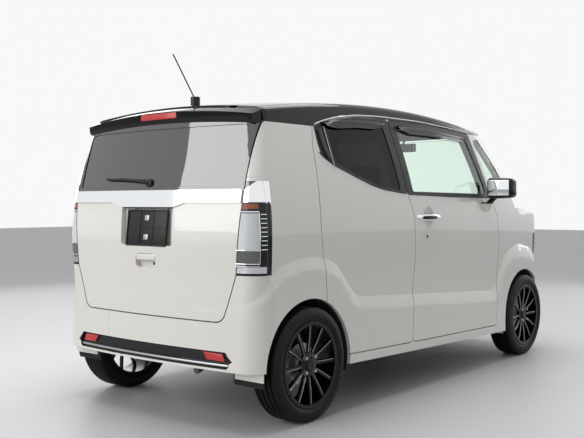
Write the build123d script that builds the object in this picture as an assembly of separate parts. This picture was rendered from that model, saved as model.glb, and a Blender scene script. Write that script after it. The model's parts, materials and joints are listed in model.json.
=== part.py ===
from build123d import *
from functools import cache
from math import cos, hypot, pi, radians, sin
import os

# Five-door kei-class tall hatchback, right-hand drive.  Millimetres.
# +X points forward, +Y to the left and +Z up.  The origin is on the ground,
# below the middle of the body's length.

# ---- whole car -------------------------------------------------------------
LENGTH = 3395.0
WIDTH = 1475.0
HEIGHT = 1670.0
WHEELBASE = 2520.0
REAR_OVERHANG = 447.5
TRACK = 1305.0
GROUND_CLEARANCE = 150.0
FLARE = 14.0            # how far the lower body stands out beyond the upper

# ---- panels ----------------------------------------------------------------
GAP = 6.0               # shut line between panels that part
SEAT = 0.3              # clearance where a fixed piece sits on another
JOINT = 0.8             # visible joint between fixed panels
DOOR_SKIN = 5.0
DOOR_WALL = 55.0
ROOF_WALL = 40.0
FENDER_SKIN = 5.0
BONNET_WALL = 24.0
BONNET_SKIN = 8.0       # along the bonnet's outer 30 mm
BONNET_RIM = 30.0
GLASS_INSET = 4.0
GLASS = 4.5
CORE_MARGIN = 30.0      # door core behind the door skin's edge
FRAME_MARGIN = 12.0     # body flange behind the door skin's edge
GATE_WALL = 50.0
BUMPER_WALL = 22.0
LAMP_DEPTH = 70.0
PILLAR_DEPTH = 40.0     # inner pillar box behind the door cores
PILLAR_WIDTH = 110.0
ROOF_ROUND = 45.0

# ---- hinges ------------------------------------------------------------------
PIN_RADIUS = 4.0
BARREL_RADIUS = 7.0
PIN_FIT = 0.3
FRONT_HINGE_AHEAD = 22.0    # front door's hinge axis ahead of its front edge
FRONT_HINGE_INSET = 16.5    # and inside the body's side
REAR_HINGE_AHEAD = 46.0     # the same for the rear door
REAR_HINGE_INSET = 14.0
ARM_HEIGHT = 36.0
ARM = 9.0               # thickness of the cranked hinge arm
FRONT_CRANK = 29.0      # how far the front door's arms crank inboard round the shut line
REAR_CRANK = 36.0       # the same for the rear door, whose axis lies further ahead
FOOT = 8.0              # extra thickness of a hinge arm where it enters the door's core
FOOT_BEHIND = 60.0      # where that starts behind the axis
BRACKET = 14.0          # height of the brackets that hold a hinge's pin
HINGE_HEIGHTS = (720, 900)
FRONT_REACH = 110.0     # length of the front door's hinge arms
REAR_REACH = 108.0
GATE_HINGE_AHEAD = 52.0
GATE_HINGE_Y = 430.0
GATE_HINGE_DROP = 32.0  # gate axis below the roof's centre line
GATE_ARM_WIDTH = 40.0
GATE_ARM_REACH = 56.0
BONNET_HINGE_Y = 560.0

# ---- wheels ----------------------------------------------------------------
TYRE_RADIUS = 285.0
TYRE_WIDTH = 165.0
RIM_RADIUS = 215.0
RIM_SEAT_RADIUS = 203.0
ARCH_RADIUS = 328.0
LINER = 3.0
LINER_CLEARANCE = 3.0
SPOKES = 12
STEER_TILT = 9.0        # steering axis leans inboard at the top, degrees
STEER_OFFSET = 46.0     # steering axis inboard of the wheel's centre, at hub height
AXLE_HEIGHT = TYRE_RADIUS

# ---- heights and stations that several pieces share -----------------------
SILL_Z = GROUND_CLEARANCE
BUMPER_Z = 400.0
WAIST_Z = 700.0
BELT_Z = 1110.0
GLASS_Z = 1300.0
HEAD_Z = HEIGHT - 170.0
TOP_Z = HEIGHT + 30.0
DOOR_BOTTOM_Z = 264.0
QUARTER_TOP_Z = HEIGHT - 200.0
HALF_LENGTH = LENGTH / 2
HALF_WIDTH = WIDTH / 2
HALF_BODY = HALF_WIDTH - FLARE
REAR_AXLE_X = REAR_OVERHANG - HALF_LENGTH
FRONT_AXLE_X = REAR_AXLE_X + WHEELBASE
WHEEL_Y = TRACK / 2
B_GAP_X = FRONT_AXLE_X - 1530.0      # rear edge of the front door at mid height
A_GAP_X = FRONT_AXLE_X - 407.0       # front edge of the front door at mid height
C_GAP_X = REAR_AXLE_X + 88.0         # rear edge of the rear door
SPOILER_GAP_X = -HALF_LENGTH + 195.0
COWL_X = FRONT_AXLE_X - 15.0
COWL_Z = BELT_Z - 18.0
HEADER_X = FRONT_AXLE_X - 470.0
HEADER_Z = HEIGHT - 66.0
LAMP_TOP_Z = 1088.0
LAMP_BOTTOM_Z = 745.0
LAMP_REAR_X = HALF_LENGTH - 247.0    # rear edge of the head lamps
FENDER_TOP_Z = BELT_Z + 10           # joint of front wing, pillar and screen
FRAME_FRONT_X = A_GAP_X + 75         # front of the side frame, below that joint
WING_REAR_X = A_GAP_X - 145          # rearmost point of the front wing
BONNET_Y = 606.0
BONNET_EDGE_Z = 893.0
BONNET_HINGE_X = FRONT_AXLE_X - 105.0
BONNET_HINGE_Z = 1046.0
BUMPER_TOP_Z = 705.0
GRILLE_Y = 379.0
GATE_HINGE_X = SPOILER_GAP_X + GATE_HINGE_AHEAD
GATE_HINGE_Z = HEIGHT - 82 - GATE_HINGE_DROP
SPOILER_TAIL_X = -HALF_LENGTH + 97
SPOILER_LOW_Z = HEAD_Z - 8
GARNISH_PROUD = 12.0
PLATE_X = -HALF_LENGTH + 44          # face of the plate's recess in the tailgate
PLATE_Z = 979.0
PLATE_HOLE_Y = 105.0
FLOOR = 22.0
FLOOR_Z = 250.0
LOAD_FLOOR_Z = 430.0
SEAT_FLOOR_Z = 330.0
BULKHEAD_X = FRONT_AXLE_X - 320.0
WHEELHOUSE_Y = 500.0    # inner wall of the rear wheelhouses
FRONT_HOUSE_Y = 400.0   # and of the front ones
TOWER_RADIUS = 73.0
STRUT_TOP_Z = 800.0
SPINDLE_RADIUS = 17.0
SPINDLE_REACH = 38.0     # beyond the wheel's centre
BALL_Z = 180.0
BALL_HOUSING = 14.0     # outer radius of the lower arm's ball joint
JACK_PAD = 6.0          # how far the jacking pad stands below the front cross member
REAR_SILL_X = -HALF_LENGTH + 66
BULKHEAD_TOP_Z = 900.0
SILL_WALL = 12.0
ROD_RADIUS = 11.0
BALL_RADIUS = 8.0
DAMPER_TOP_Z = 600.0
ENGINE_X = BULKHEAD_X + 90
SEAT_Y = 330.0
STEERING_X, STEERING_Y, STEERING_Z = 520.0, -350.0, 920.0
STEERING_RADIUS = 178.0
COLUMN_TILT = 24.0
COLUMN_RADIUS = 17.0
COLUMN_DEPTH = 300.0
FAR = 900.0             # beyond the body's side

# Plan sections of the body, bottom to top: height; distance of the tail and
# the nose inside the overall length; how much narrower than the body's half
# width it is at tail, middle and nose; bow of tail and nose; corner radii.
BODY_SECTIONS = (
    (SILL_Z, 38, 72, 33, 12, 33, 50, 110, 110, 170),
    (BUMPER_Z, 5, 0.2, 20, 2, 24, 52, 125, 110, 180),
    (WAIST_Z, 11.5, 2.2, 17, 1, 26, 52, 120, 100, 175),
    (BELT_Z, 25, 17, 22, 4, 36, 50, 115, 90, 160),
    (GLASS_Z, 66, 48, 52, 30, 64, 50, 110, 85, 150),
    (HEAD_Z, 115, 78, 98, 72, 104, 48, 105, 80, 140),
    (TOP_Z, 178, 118, 154, 120, 154, 46, 100, 75, 130),
)


def plan_section(row, inset, end_inset):
    """One horizontal section of the body with bowed sides and round corners."""
    z, tail, nose, n_tail, n_mid, n_nose, b_tail, b_nose, r_tail, r_nose = row
    x_tail = tail - HALF_LENGTH + end_inset
    x_nose = HALF_LENGTH - nose - end_inset
    w_tail, w_mid, w_nose = (HALF_BODY - inset - n for n in (n_tail, n_mid, n_nose))
    x_mid = (x_tail + x_nose) / 2
    x_rear, x_front = x_tail + b_tail, x_nose - b_nose
    face = make_face(Wire([
        ThreePointArc((x_rear, w_tail, z), (x_tail, 0, z), (x_rear, -w_tail, z)),
        ThreePointArc((x_rear, -w_tail, z), (x_mid, -w_mid, z), (x_front, -w_nose, z)),
        ThreePointArc((x_front, -w_nose, z), (x_nose, 0, z), (x_front, w_nose, z)),
        ThreePointArc((x_front, w_nose, z), (x_mid, w_mid, z), (x_rear, w_tail, z)),
    ]))
    face = fillet([v for v in face.vertices() if v.X < x_mid], max(r_tail - inset, 20))
    return fillet([v for v in face.vertices() if abs(v.X - x_front) < 1], max(r_nose - inset, 40))


def crown(y):
    """0 on the centre line and 1 at 600 mm out: how far roof and screen fall away."""
    return (y / 600) ** 2


def top_section(y, inset):
    """One lengthwise section under roof, windscreen and bonnet."""
    k = crown(y)
    roof_drop, bonnet_drop, sweep = 38 * k, 30 * k, 92 * k
    ends = HALF_LENGTH + 100
    nose = (ends, y, WAIST_Z - 60 - inset)
    lip = (COWL_X + 330 - inset / 2, y, COWL_Z - 92 - bonnet_drop - inset)
    cowl = (COWL_X - 0.9 * sweep - inset, y, COWL_Z - bonnet_drop - inset)
    header = (HEADER_X - sweep - 0.4 * inset, y, HEADER_Z - roof_drop - inset)
    roof_tail = (-ends, y, HEIGHT - 134 - roof_drop - inset)
    slope = 0.7 * inset
    screen_x = (COWL_X + HEADER_X) / 2 + 14 - sweep - slope
    screen_z = (COWL_Z + HEADER_Z) / 2 + 14 - 0.6 * roof_drop - slope
    return make_face(Wire([
        Line((-ends, y, SILL_Z - 60), (ends, y, SILL_Z - 60)),
        Line((ends, y, SILL_Z - 60), nose),
        ThreePointArc(nose, (HALF_LENGTH + 14 - slope, y, COWL_Z - 247 - bonnet_drop - slope), lip),
        ThreePointArc(lip, (COWL_X + 175, y, COWL_Z - 34 - bonnet_drop - inset), cowl),
        ThreePointArc(cowl, (screen_x, y, screen_z), header),
        ThreePointArc(header, (-150, y, HEIGHT - roof_drop - inset), roof_tail),
        Line(roof_tail, (-ends, y, SILL_Z - 60)),
    ]))


@cache
def body_form(inset, top_inset=None, end_inset=None):
    """The closed outer form of the body, pulled in by an inset at sides, top and ends."""
    top_inset = inset if top_inset is None else top_inset
    end_inset = inset if end_inset is None else end_inset
    sides = loft([plan_section(row, inset, end_inset) for row in BODY_SECTIONS])
    top = loft([top_section(y, top_inset) for y in (-800, -400, 0, 400, 800)])
    form = (sides & top).solids()[0]
    rails = [e for e in form.edges()
             if (e @ 0.5).Z > HEAD_Z - 60 and abs((e @ 0.5).Y) > 400 and e.length > 1000]
    return fillet(rails, max(ROOF_ROUND - inset, 6))


def both_sides(half):
    """Rows of an outline that is the same on both sides, from one half's rows."""
    return list(half) + [(-y, z, r) for y, z, r in reversed(half)]


def face_of(rows):
    """A flat face from an outline's rows: two coordinates and the corner's radius."""
    return make_face(FilletPolyline(*[r[:2] for r in rows], radius=[r[2] for r in rows], close=True))


def grown(rows, amount):
    """An outline's rows moved outwards, or inwards where the amount is negative."""
    count = len(rows)
    corners = [(rows[i - 1], rows[i], rows[(i + 1) % count]) for i in range(count)]
    turn = sum(a[0] * b[1] - b[0] * a[1] for a, b, _ in corners)
    outward = 1 if turn > 0 else -1
    moved = []
    for before, here, after in corners:
        in_x, in_y = unit(before, here)
        out_x, out_y = unit(here, after)
        cross = in_x * out_y - in_y * out_x
        share = outward * amount / (1 + in_x * out_x + in_y * out_y)
        x = here[0] + share * (in_y + out_y)
        y = here[1] - share * (in_x + out_x)
        radius = here[2] + (amount if cross * outward > 0 else -amount)
        moved.append((x, y, max(radius, 0) if here[2] else 0))
    return moved


def unit(start, end):
    """Direction from one row's point to the next."""
    dx, dy = end[0] - start[0], end[1] - start[1]
    return dx / hypot(dx, dy), dy / hypot(dx, dy)


def side_prism(rows, y_high=FAR, y_low=0.0):
    """An outline drawn in side view (x, z), cut through from y_high to y_low."""
    return extrude(Plane.XZ.offset(-y_high) * face_of(rows), amount=y_high - y_low)


def rear_prism(rows, x_low, x_high):
    """An outline drawn in end view (y, z), cut through from x_low to x_high."""
    return extrude(Plane.YZ.offset(x_low) * face_of(rows), amount=x_high - x_low)


def top_prism(rows, z_low, z_high):
    """An outline drawn in plan (x, y), cut through from z_low to z_high."""
    return extrude(Plane.XY.offset(z_low) * face_of(rows), amount=z_high - z_low)


def block(x0, x1, y0, y1, z0, z1):
    """A box between two corners."""
    return Pos((x0 + x1) / 2, (y0 + y1) / 2, (z0 + z1) / 2) * Box(x1 - x0, y1 - y0, z1 - z0)


def rod(start, end, radius):
    """A round bar from one point to another."""
    axis = Vector(end) - Vector(start)
    return extrude(Plane(origin=start, z_dir=axis) * Circle(radius), amount=axis.length)


def layer(region, inset, form=None):
    """The body's outer wall, one thickness deep, inside a region."""
    form = outer if form is None else form
    return (form & region) - body_form(inset)


def mirrored(shape):
    """The same piece on the other side of the car."""
    return mirror(shape, about=Plane.XZ)


def wheel_bore(axle_x, radius, y_low=380.0):
    """A cylinder across the car about one axle, on the left side."""
    return rod((axle_x, y_low, AXLE_HEIGHT), (axle_x, FAR, AXLE_HEIGHT), radius)


# ---- outlines: two coordinates and corner radius ------------------------------
def front_door_outline():
    return (
        (A_GAP_X - 318, 1532, 25), (A_GAP_X - 141, 1135, 60), (A_GAP_X - 32, 1010, 70),
        (A_GAP_X, 800, 260), (A_GAP_X - 68, DOOR_BOTTOM_Z, 30),
        (B_GAP_X - 40, DOOR_BOTTOM_Z + 22, 30), (B_GAP_X + 8, 800, 600), (B_GAP_X - 4, 1010, 160),
        (B_GAP_X - 65, 1130, 80), (B_GAP_X - 165, 1556, 20), (B_GAP_X + 360, 1562, 2500),
    )


def rear_door_outline():
    front = B_GAP_X - GAP
    return (
        (C_GAP_X + 24, QUARTER_TOP_Z + 4, 12), (C_GAP_X, 1370, 80), (C_GAP_X, 1000, 600),
        (C_GAP_X + 22, 817, 300), (C_GAP_X + 50, 560, 0), (REAR_AXLE_X + 200, DOOR_BOTTOM_Z + 38, 0),
        (front - 40, DOOR_BOTTOM_Z + 22, 30), (front + 8, 800, 600), (front - 4, 1010, 160),
        (front - 65, 1130, 80), (front - 165, 1556, 20),
        (C_GAP_X + 420, 1550, 500), (C_GAP_X + 230, 1522, 300),
    )


def front_window_outline():
    return (
        (A_GAP_X - 366, 1494, 30), (A_GAP_X - 180, 1146, 22),
        (B_GAP_X - 8, 1152, 18), (B_GAP_X - 92, 1512, 25), (B_GAP_X + 330, 1520, 2000),
    )


def rear_window_outline():
    return (
        (C_GAP_X + 132, 1500, 20), (C_GAP_X + 168, 1300, 15), (C_GAP_X + 330, 1240, 400),
        (C_GAP_X + 560, 1175, 400), (B_GAP_X - 140, 1157, 15), (B_GAP_X - 228, 1512, 20),
        (C_GAP_X + 420, 1518, 500),
    )


def quarter_window_outline():
    return (
        (A_GAP_X - 262, 1500, 12), (A_GAP_X - 106, 1150, 14), (A_GAP_X + 190, 1134, 16),
        (A_GAP_X + 20, 1320, 300), (A_GAP_X - 190, 1512, 12),
    )


def roof_outline():
    """Everything above the quarter panels, the drip line and the screen."""
    return (
        (-HALF_LENGTH - 50, QUARTER_TOP_Z + GAP, 0), (C_GAP_X + 16, QUARTER_TOP_Z + GAP, 40),
        (C_GAP_X + 225, 1530, 300), (C_GAP_X + 420, 1558, 500), (B_GAP_X - 165, 1562, 2000),
        (B_GAP_X + 360, 1568, 2500), (A_GAP_X - 318, 1539, 200), (HALF_LENGTH, 1539, 0),
        (HALF_LENGTH, HEIGHT + 100, 0), (-HALF_LENGTH - 50, HEIGHT + 100, 0),
    )


def flare_outline():
    """The wider lower body: over the rear arch, along the doors, over the front arch."""
    rear, front = REAR_AXLE_X, FRONT_AXLE_X
    return (
        (-HALF_LENGTH - 60, 120, 0), (HALF_LENGTH + 60, 120, 0), (HALF_LENGTH + 60, 560, 0),
        (front + 300, 650, 100), (front + 120, 765, 250), (front - 92, 800, 250),
        (front - 300, 750, 250), (front - 480, 496, 80), (rear + 404, 590, 120),
        (rear + 200, 790, 200), (rear, 825, 600), (rear - 220, 790, 200),
        (-HALF_LENGTH - 60, 560, 0),
    )


def gate_outline():
    """The tailgate in end view; above the quarter panels it takes the full width."""
    return both_sides((
        (505, 520, 55), (588, 748, 25), (616, 1088, 200), (622, QUARTER_TOP_Z + 2, 0),
        (FAR, QUARTER_TOP_Z + 2, 0), (FAR, HEIGHT + 100, 0),
    ))


def gate_window_outline():
    return both_sides(((600, 1166, 14), (592, SPOILER_LOW_Z - 40, 20), (540, SPOILER_LOW_Z - 28, 80)))


def windscreen_outline():
    return both_sides(((652, FENDER_TOP_Z, 20), (588, 1530, 40)))


def bonnet_outline():
    """The bonnet in plan, its rear edge bowed round the screen."""
    half = ((COWL_X - 43, BONNET_Y, 40), (HALF_LENGTH - 97, BONNET_Y - 16, 60), (HALF_LENGTH + 40, 540, 0))
    return [(COWL_X + 37, 0, 2500)] + list(half) + [(x, -y, r) for x, y, r in reversed(half)]


def head_lamp_outline():
    """The left head lamp in front view."""
    return ((GRILLE_Y + 2, BUMPER_TOP_Z, 20), (GRILLE_Y + 2, 846, 20), (560, 884, 120), (770, 858, 0),
            (770, 725, 0), (600, BUMPER_TOP_Z, 80))


def front_bumper_rows():
    """Side view of what the front bumper takes from the wings."""
    edge = FRONT_AXLE_X + 258
    return ((HALF_LENGTH + 60, 0, 0), (edge, 0, 0), (edge, 560, 60), (edge - 48, BUMPER_TOP_Z, 20),
            (HALF_LENGTH + 60, BUMPER_TOP_Z, 0))


# ---- body layers -------------------------------------------------------------
def flared_body(form):
    """The outer form with the lower flare on both sides, its upper edge bevelled."""
    wide = body_form(-FLARE, end_inset=0)
    flare = wide & side_prism(flare_outline(), FAR, 300)
    face = flare.faces().sort_by(Axis.Y)[-1]
    ledge = [e for e in face.edges()
             if (e @ 0.5).Z > 450 and abs((e @ 0.5).X) < HALF_LENGTH - 45]
    flare = chamfer(ledge, 60, FLARE - 0.5, reference=face)
    return form + flare + mirrored(flare)


plain = body_form(0)
outer = flared_body(plain)
skin_inner = body_form(DOOR_SKIN)
flange_outer = body_form(DOOR_SKIN + GAP)
cabin = body_form(DOOR_WALL, ROOF_WALL)
cabin_fit = body_form(DOOR_WALL + SEAT, ROOF_WALL + SEAT)
liner_room = body_form(FENDER_SKIN + SEAT)
glass_layer = body_form(GLASS_INSET) - body_form(GLASS_INSET + GLASS)
half_space = block(-HALF_LENGTH - 100, HALF_LENGTH + 100, 0, FAR, 0, HEIGHT + 200)
belly = side_prism((
    (-HALF_LENGTH - 90, 288, 0), (REAR_AXLE_X, 288, 0), (REAR_AXLE_X, 252, 0),
    (FRONT_AXLE_X, 197, 0), (FRONT_AXLE_X, 185, 0), (HALF_LENGTH + 90, 185, 0),
    (HALF_LENGTH + 90, 0, 0), (-HALF_LENGTH - 90, 0, 0),
), FAR, -FAR)
wall = outer - cabin - belly
left_outer = outer & half_space
left_wall = left_outer - cabin - belly
left_skin = left_outer - skin_inner - belly
left_glass = glass_layer & half_space
gate_zone = rear_prism(gate_outline(), -HALF_LENGTH - 60, SPOILER_GAP_X)
gate_cut = rear_prism(grown(gate_outline(), GAP), -HALF_LENGTH - 60, SPOILER_GAP_X + GAP)


# ---- side doors ---------------------------------------------------------------
def side_y(x):
    """Half width of the upper body at waist height."""
    span = HALF_LENGTH - 120
    return HALF_BODY - 1 - 20 * (x / span) ** 2


def hinge_axis(edge_x, ahead, inset):
    """Plan position of a door's hinge axis, left side."""
    return edge_x + ahead, side_y(edge_x + ahead) - inset


front_axis = hinge_axis(A_GAP_X, FRONT_HINGE_AHEAD, FRONT_HINGE_INSET)
rear_axis = hinge_axis(B_GAP_X - GAP, REAR_HINGE_AHEAD, REAR_HINGE_INSET)


def hinge_arm(axis, z, crank, reach_back):
    """Barrel and cranked arm of one door hinge, left side; its thicker foot runs into the door."""
    x, y = axis
    low, high = z - ARM_HEIGHT / 2, z + ARM_HEIGHT / 2
    far = y - crank - ARM
    arm = rod((x, y, low), (x, y, high), BARREL_RADIUS)
    arm += block(x - ARM / 2, x + ARM / 2, far, y, low, high)
    arm += block(x - reach_back, x + ARM / 2, far, far + ARM, low, high)
    arm += block(x - reach_back, x - FOOT_BEHIND, far, far + ARM + FOOT, low, high)
    return arm - rod((x, y, low - 1), (x, y, high + 1), PIN_RADIUS + PIN_FIT)


def hinge_pocket(axis, z, crank, reach_back):
    """Room for the arm in the pillar."""
    x, y = axis
    room = ARM_HEIGHT / 2 + GAP
    return block(x - reach_back, x + BARREL_RADIUS + GAP, y - crank - ARM - GAP, FAR, z - room, z + room)


def hinge_pin(axis, z, back):
    """Pin of one hinge and the two brackets that carry it, run back to the pillar's wall."""
    x, y = axis
    reach = ARM_HEIGHT / 2 + GAP
    pin = rod((x, y, z - reach - BRACKET), (x, y, z + reach + BRACKET), PIN_RADIUS)
    for low in (z - reach - BRACKET, z + reach):
        pin += block(x - back, x + 6, y - 22, y + 5, low, low + BRACKET)
    return pin


def hinge_room(axis, z):
    """Room in the door ahead for the barrel and brackets of the door behind."""
    x, y = axis
    room = ARM_HEIGHT / 2 + BRACKET + 2 * GAP
    return block(x - 80, x + BARREL_RADIUS + GAP, y - REAR_CRANK - ARM - GAP, FAR, z - room, z + room)


def door_panel(outline, window, axis, crank, reach, bore_x=None, axis_behind=None):
    """Skin, thicker core behind it, window opening and hinge arms."""
    shell = left_skin & side_prism(outline)
    core = left_wall & side_prism(grown(outline, -CORE_MARGIN))
    if axis_behind is not None:
        for z in HINGE_HEIGHTS:
            core -= hinge_room(axis_behind, z)
    if bore_x is not None:
        shell -= wheel_bore(bore_x, ARCH_RADIUS)
        core -= wheel_bore(bore_x, ARCH_RADIUS + 24)
    panel = shell + core - side_prism(window)
    for z in HINGE_HEIGHTS:
        panel += hinge_arm(axis, z, crank, reach)
    return panel


front_door = front_door_outline()
rear_door = rear_door_outline()
front_window = front_window_outline()
rear_window = rear_window_outline()
door_front = door_panel(
    front_door, front_window, front_axis, FRONT_CRANK, FRONT_REACH, axis_behind=rear_axis)
door_rear = door_panel(rear_door, rear_window, rear_axis, REAR_CRANK, REAR_REACH, REAR_AXLE_X)
glass_front = left_glass & side_prism(grown(front_window, -SEAT))
glass_rear = left_glass & side_prism(grown(rear_window, -SEAT))


# ---- side frames: pillars, sills and rear quarters, one piece a side -----------
def zone(x_low, x_high, z_low, z_high, y_low=-FAR, y_high=FAR):
    return block(x_low, x_high, y_low, y_high, z_low, z_high)


def rear_corner_rows():
    """Side view of the corner that lamp and bumper take from the quarter panel."""
    edge = REAR_AXLE_X - 318
    return (
        (-HALF_LENGTH - 80, LAMP_TOP_Z + 118, 0), (edge - 20, LAMP_TOP_Z + 118, 0),
        (edge, LAMP_TOP_Z + 90, 20), (edge, LAMP_BOTTOM_Z, 30), (edge + 40, LAMP_BOTTOM_Z - 70, 60),
        (edge + 40, 0, 0), (-HALF_LENGTH - 80, 0, 0),
    )


def side_frame():
    """Rear quarter, sill, pillars and cant rail round both door openings."""
    frame = left_wall - roof_cut - gate_cut
    frame -= side_prism(grown(rear_corner_rows(), JOINT))
    frame -= zone(FRAME_FRONT_X, HALF_LENGTH + 90, 0, FENDER_TOP_Z)
    frame -= block(WING_REAR_X - JOINT, FRAME_FRONT_X + 1, 0, FAR, 0, FENDER_TOP_Z) - liner_room
    frame -= zone(0, HALF_LENGTH + 90, BELT_Z - 20, HEIGHT, -FAR, 560)
    frame -= rear_prism(windscreen_outline(), 300, HALF_LENGTH)
    frame -= side_prism(quarter_window)
    frame -= side_prism(sill_rows)
    frame -= wheel_bore(REAR_AXLE_X, ARCH_RADIUS)
    for outline in (front_door, rear_door):
        frame -= side_prism(grown(outline, -FRAME_MARGIN))
        frame -= side_prism(grown(outline, GAP)) - flange_outer
    hinges = ((front_axis, FRONT_CRANK, FRONT_REACH, 20), (rear_axis, REAR_CRANK, REAR_REACH, 40))
    for axis, crank, reach, _ in hinges:
        frame = frame.cut(*[hinge_pocket(axis, z, crank, reach) for z in HINGE_HEIGHTS])
    return frame.fuse(*[hinge_pin(axis, z, back) for axis, _, _, back in hinges for z in HINGE_HEIGHTS])


def roof_panel():
    """Roof skin and header above the doors, with the tailgate's hinge pins."""
    panel = wall & side_prism(grown(roof_outline(), -JOINT / 2), FAR, -FAR)
    panel -= gate_cut
    panel -= rear_prism(windscreen_outline(), 300, HALF_LENGTH)
    for y in (-GATE_HINGE_Y, GATE_HINGE_Y):
        panel -= gate_pocket(y)
        panel += gate_pin(y)
    return panel


quarter_window = quarter_window_outline()
sill_rows = (
    (REAR_AXLE_X + 120, DOOR_BOTTOM_Z + 38 - GAP, 0), (B_GAP_X - 40, DOOR_BOTTOM_Z + 22 - GAP, 0),
    (A_GAP_X - 68, DOOR_BOTTOM_Z - GAP, 0), (FRONT_AXLE_X - 180, DOOR_BOTTOM_Z - GAP, 0),
    (FRONT_AXLE_X - 180, 150, 0), (REAR_AXLE_X + 120, 150, 0),
)
roof_cut = side_prism(grown(roof_outline(), JOINT / 2), FAR, -FAR)
frame_left = side_frame()

# ---- tailgate -------------------------------------------------------------------

def gate_hinge(y):
    """Cranked arm from the gate's header forward to its pin under the roof."""
    x, z = GATE_HINGE_X, GATE_HINGE_Z
    y0, y1 = y - GATE_ARM_WIDTH / 2, y + GATE_ARM_WIDTH / 2
    low = z - GATE_ARM_REACH - ARM
    arm = rod((x, y0, z), (x, y1, z), BARREL_RADIUS)
    arm += block(x - ARM / 2, x + ARM / 2, y0, y1, low, z)
    arm += block(x - 59, x + ARM / 2, y0, y1, low, low + ARM)
    return arm - rod((x, y0 - 1, z), (x, y1 + 1, z), PIN_RADIUS + PIN_FIT)


def gate_pocket(y):
    x, z = GATE_HINGE_X, GATE_HINGE_Z
    room = GATE_ARM_WIDTH / 2 + GAP
    return block(x - 110, x + BARREL_RADIUS + GAP, y - room, y + room, z - GATE_ARM_REACH - 40, z + 9)


def gate_pin(y):
    x, z = GATE_HINGE_X, GATE_HINGE_Z
    reach = GATE_ARM_WIDTH / 2 + GAP + 12
    return rod((x, y - reach, z), (x, y + reach, z), PIN_RADIUS)


def gate_panel():
    """Tailgate with its window, handle and plate recesses and its hinge arms."""
    panel = (outer - body_form(GATE_WALL, ROOF_WALL)) & gate_zone
    panel += outer & block(-HALF_LENGTH, SPOILER_GAP_X, -616, 616, SPOILER_LOW_Z - 40, HEIGHT)
    panel -= rear_prism(gate_window_outline(), -HALF_LENGTH - 60, -HALF_LENGTH + 260)
    panel -= spoiler_room
    panel -= rear_prism(both_sides(((74, 760, 24), (74, 830, 24))), -HALF_LENGTH - 20, -HALF_LENGTH + 40)
    panel -= rear_prism(both_sides(((190, 872, 14), (190, 1086, 0))), -HALF_LENGTH - 20, PLATE_X)
    for side in (-1, 1):
        panel += gate_hinge(GATE_HINGE_Y * side)
        hole_y = PLATE_HOLE_Y * side
        panel -= rod((PLATE_X - 1, hole_y, PLATE_Z), (PLATE_X + 12, hole_y, PLATE_Z), 3)
    return panel


def spoiler_section(y):
    k = (y / 618) ** 2
    tail = SPOILER_TAIL_X + 40 * k
    roof = HEIGHT - 97 - 38 * crown(y)
    return Plane.XZ.offset(-y) * make_face(Polyline(
        (SPOILER_GAP_X - GAP, roof + 0.5), (tail + 30, roof - 13), (tail, roof - 24),
        (tail + 3, roof - 52), (tail + 14, SPOILER_LOW_Z - 26 * k), (tail + 62, SPOILER_LOW_Z - 26 * k),
        (SPOILER_GAP_X - GAP, roof - 40), close=True))


def spoiler_piece():
    wing = loft([spoiler_section(y) for y in (-640, -320, 0, 320, 640)])
    corners = (
        (SPOILER_GAP_X, -622, 0), (SPOILER_GAP_X, 622, 0), (SPOILER_TAIL_X + 26, 606, 45),
        (SPOILER_TAIL_X - 30, 560, 0), (SPOILER_TAIL_X - 30, -560, 0), (SPOILER_TAIL_X + 26, -606, 45),
    )
    return wing & top_prism(corners, HEAD_Z - 100, HEIGHT)


def spoiler_room_section(y):
    """Side section of the space the spoiler takes above the tailgate's window."""
    k = (y / 618) ** 2
    low = SPOILER_LOW_Z - 26 * k - SEAT
    return Plane.XZ.offset(-y) * make_face(Polyline(
        (-HALF_LENGTH - 60, HEIGHT + 20), (SPOILER_GAP_X + 1, HEIGHT + 20),
        (SPOILER_GAP_X + 1, HEIGHT - 140 - 38 * crown(y)), (SPOILER_TAIL_X + 64 + 40 * k, low),
        (-HALF_LENGTH - 60, low), close=True))


roof_main = roof_panel()
spoiler_room = loft([spoiler_room_section(y) for y in (-640, -320, 0, 320, 640)])
gate_light = rear_prism(grown(gate_window_outline(), -SEAT), -HALF_LENGTH - 60, -HALF_LENGTH + 260)
gate_glass = (glass_layer & gate_light) - spoiler_room
spoiler = spoiler_piece()
gate = gate_panel()


def tail_garnish():
    """Bright bar across the tailgate above the plate, thicker at its middle."""
    rows = both_sides(((196, LAMP_TOP_Z - 23, 30), (270, LAMP_TOP_Z, 60), (617, LAMP_TOP_Z, 0),
                       (617, LAMP_TOP_Z + 62, 12)))
    region = rear_prism(rows, -HALF_LENGTH - 60, -HALF_LENGTH + 160)
    inside_gate = rear_prism(grown(gate_outline(), -1), -HALF_LENGTH - 60, -1000)
    return layer(region, -SEAT, body_form(-GARNISH_PROUD)) & inside_gate


garnish = tail_garnish()


# ---- screen, quarter windows and cowl ---------------------------------------------
windscreen = glass_layer & rear_prism(grown(windscreen_outline(), -SEAT), 300, HALF_LENGTH)
quarter_glass = left_glass & side_prism(grown(quarter_window, -SEAT))
bonnet_room = top_prism(grown(bonnet_outline(), GAP), 600, 1200)


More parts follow.
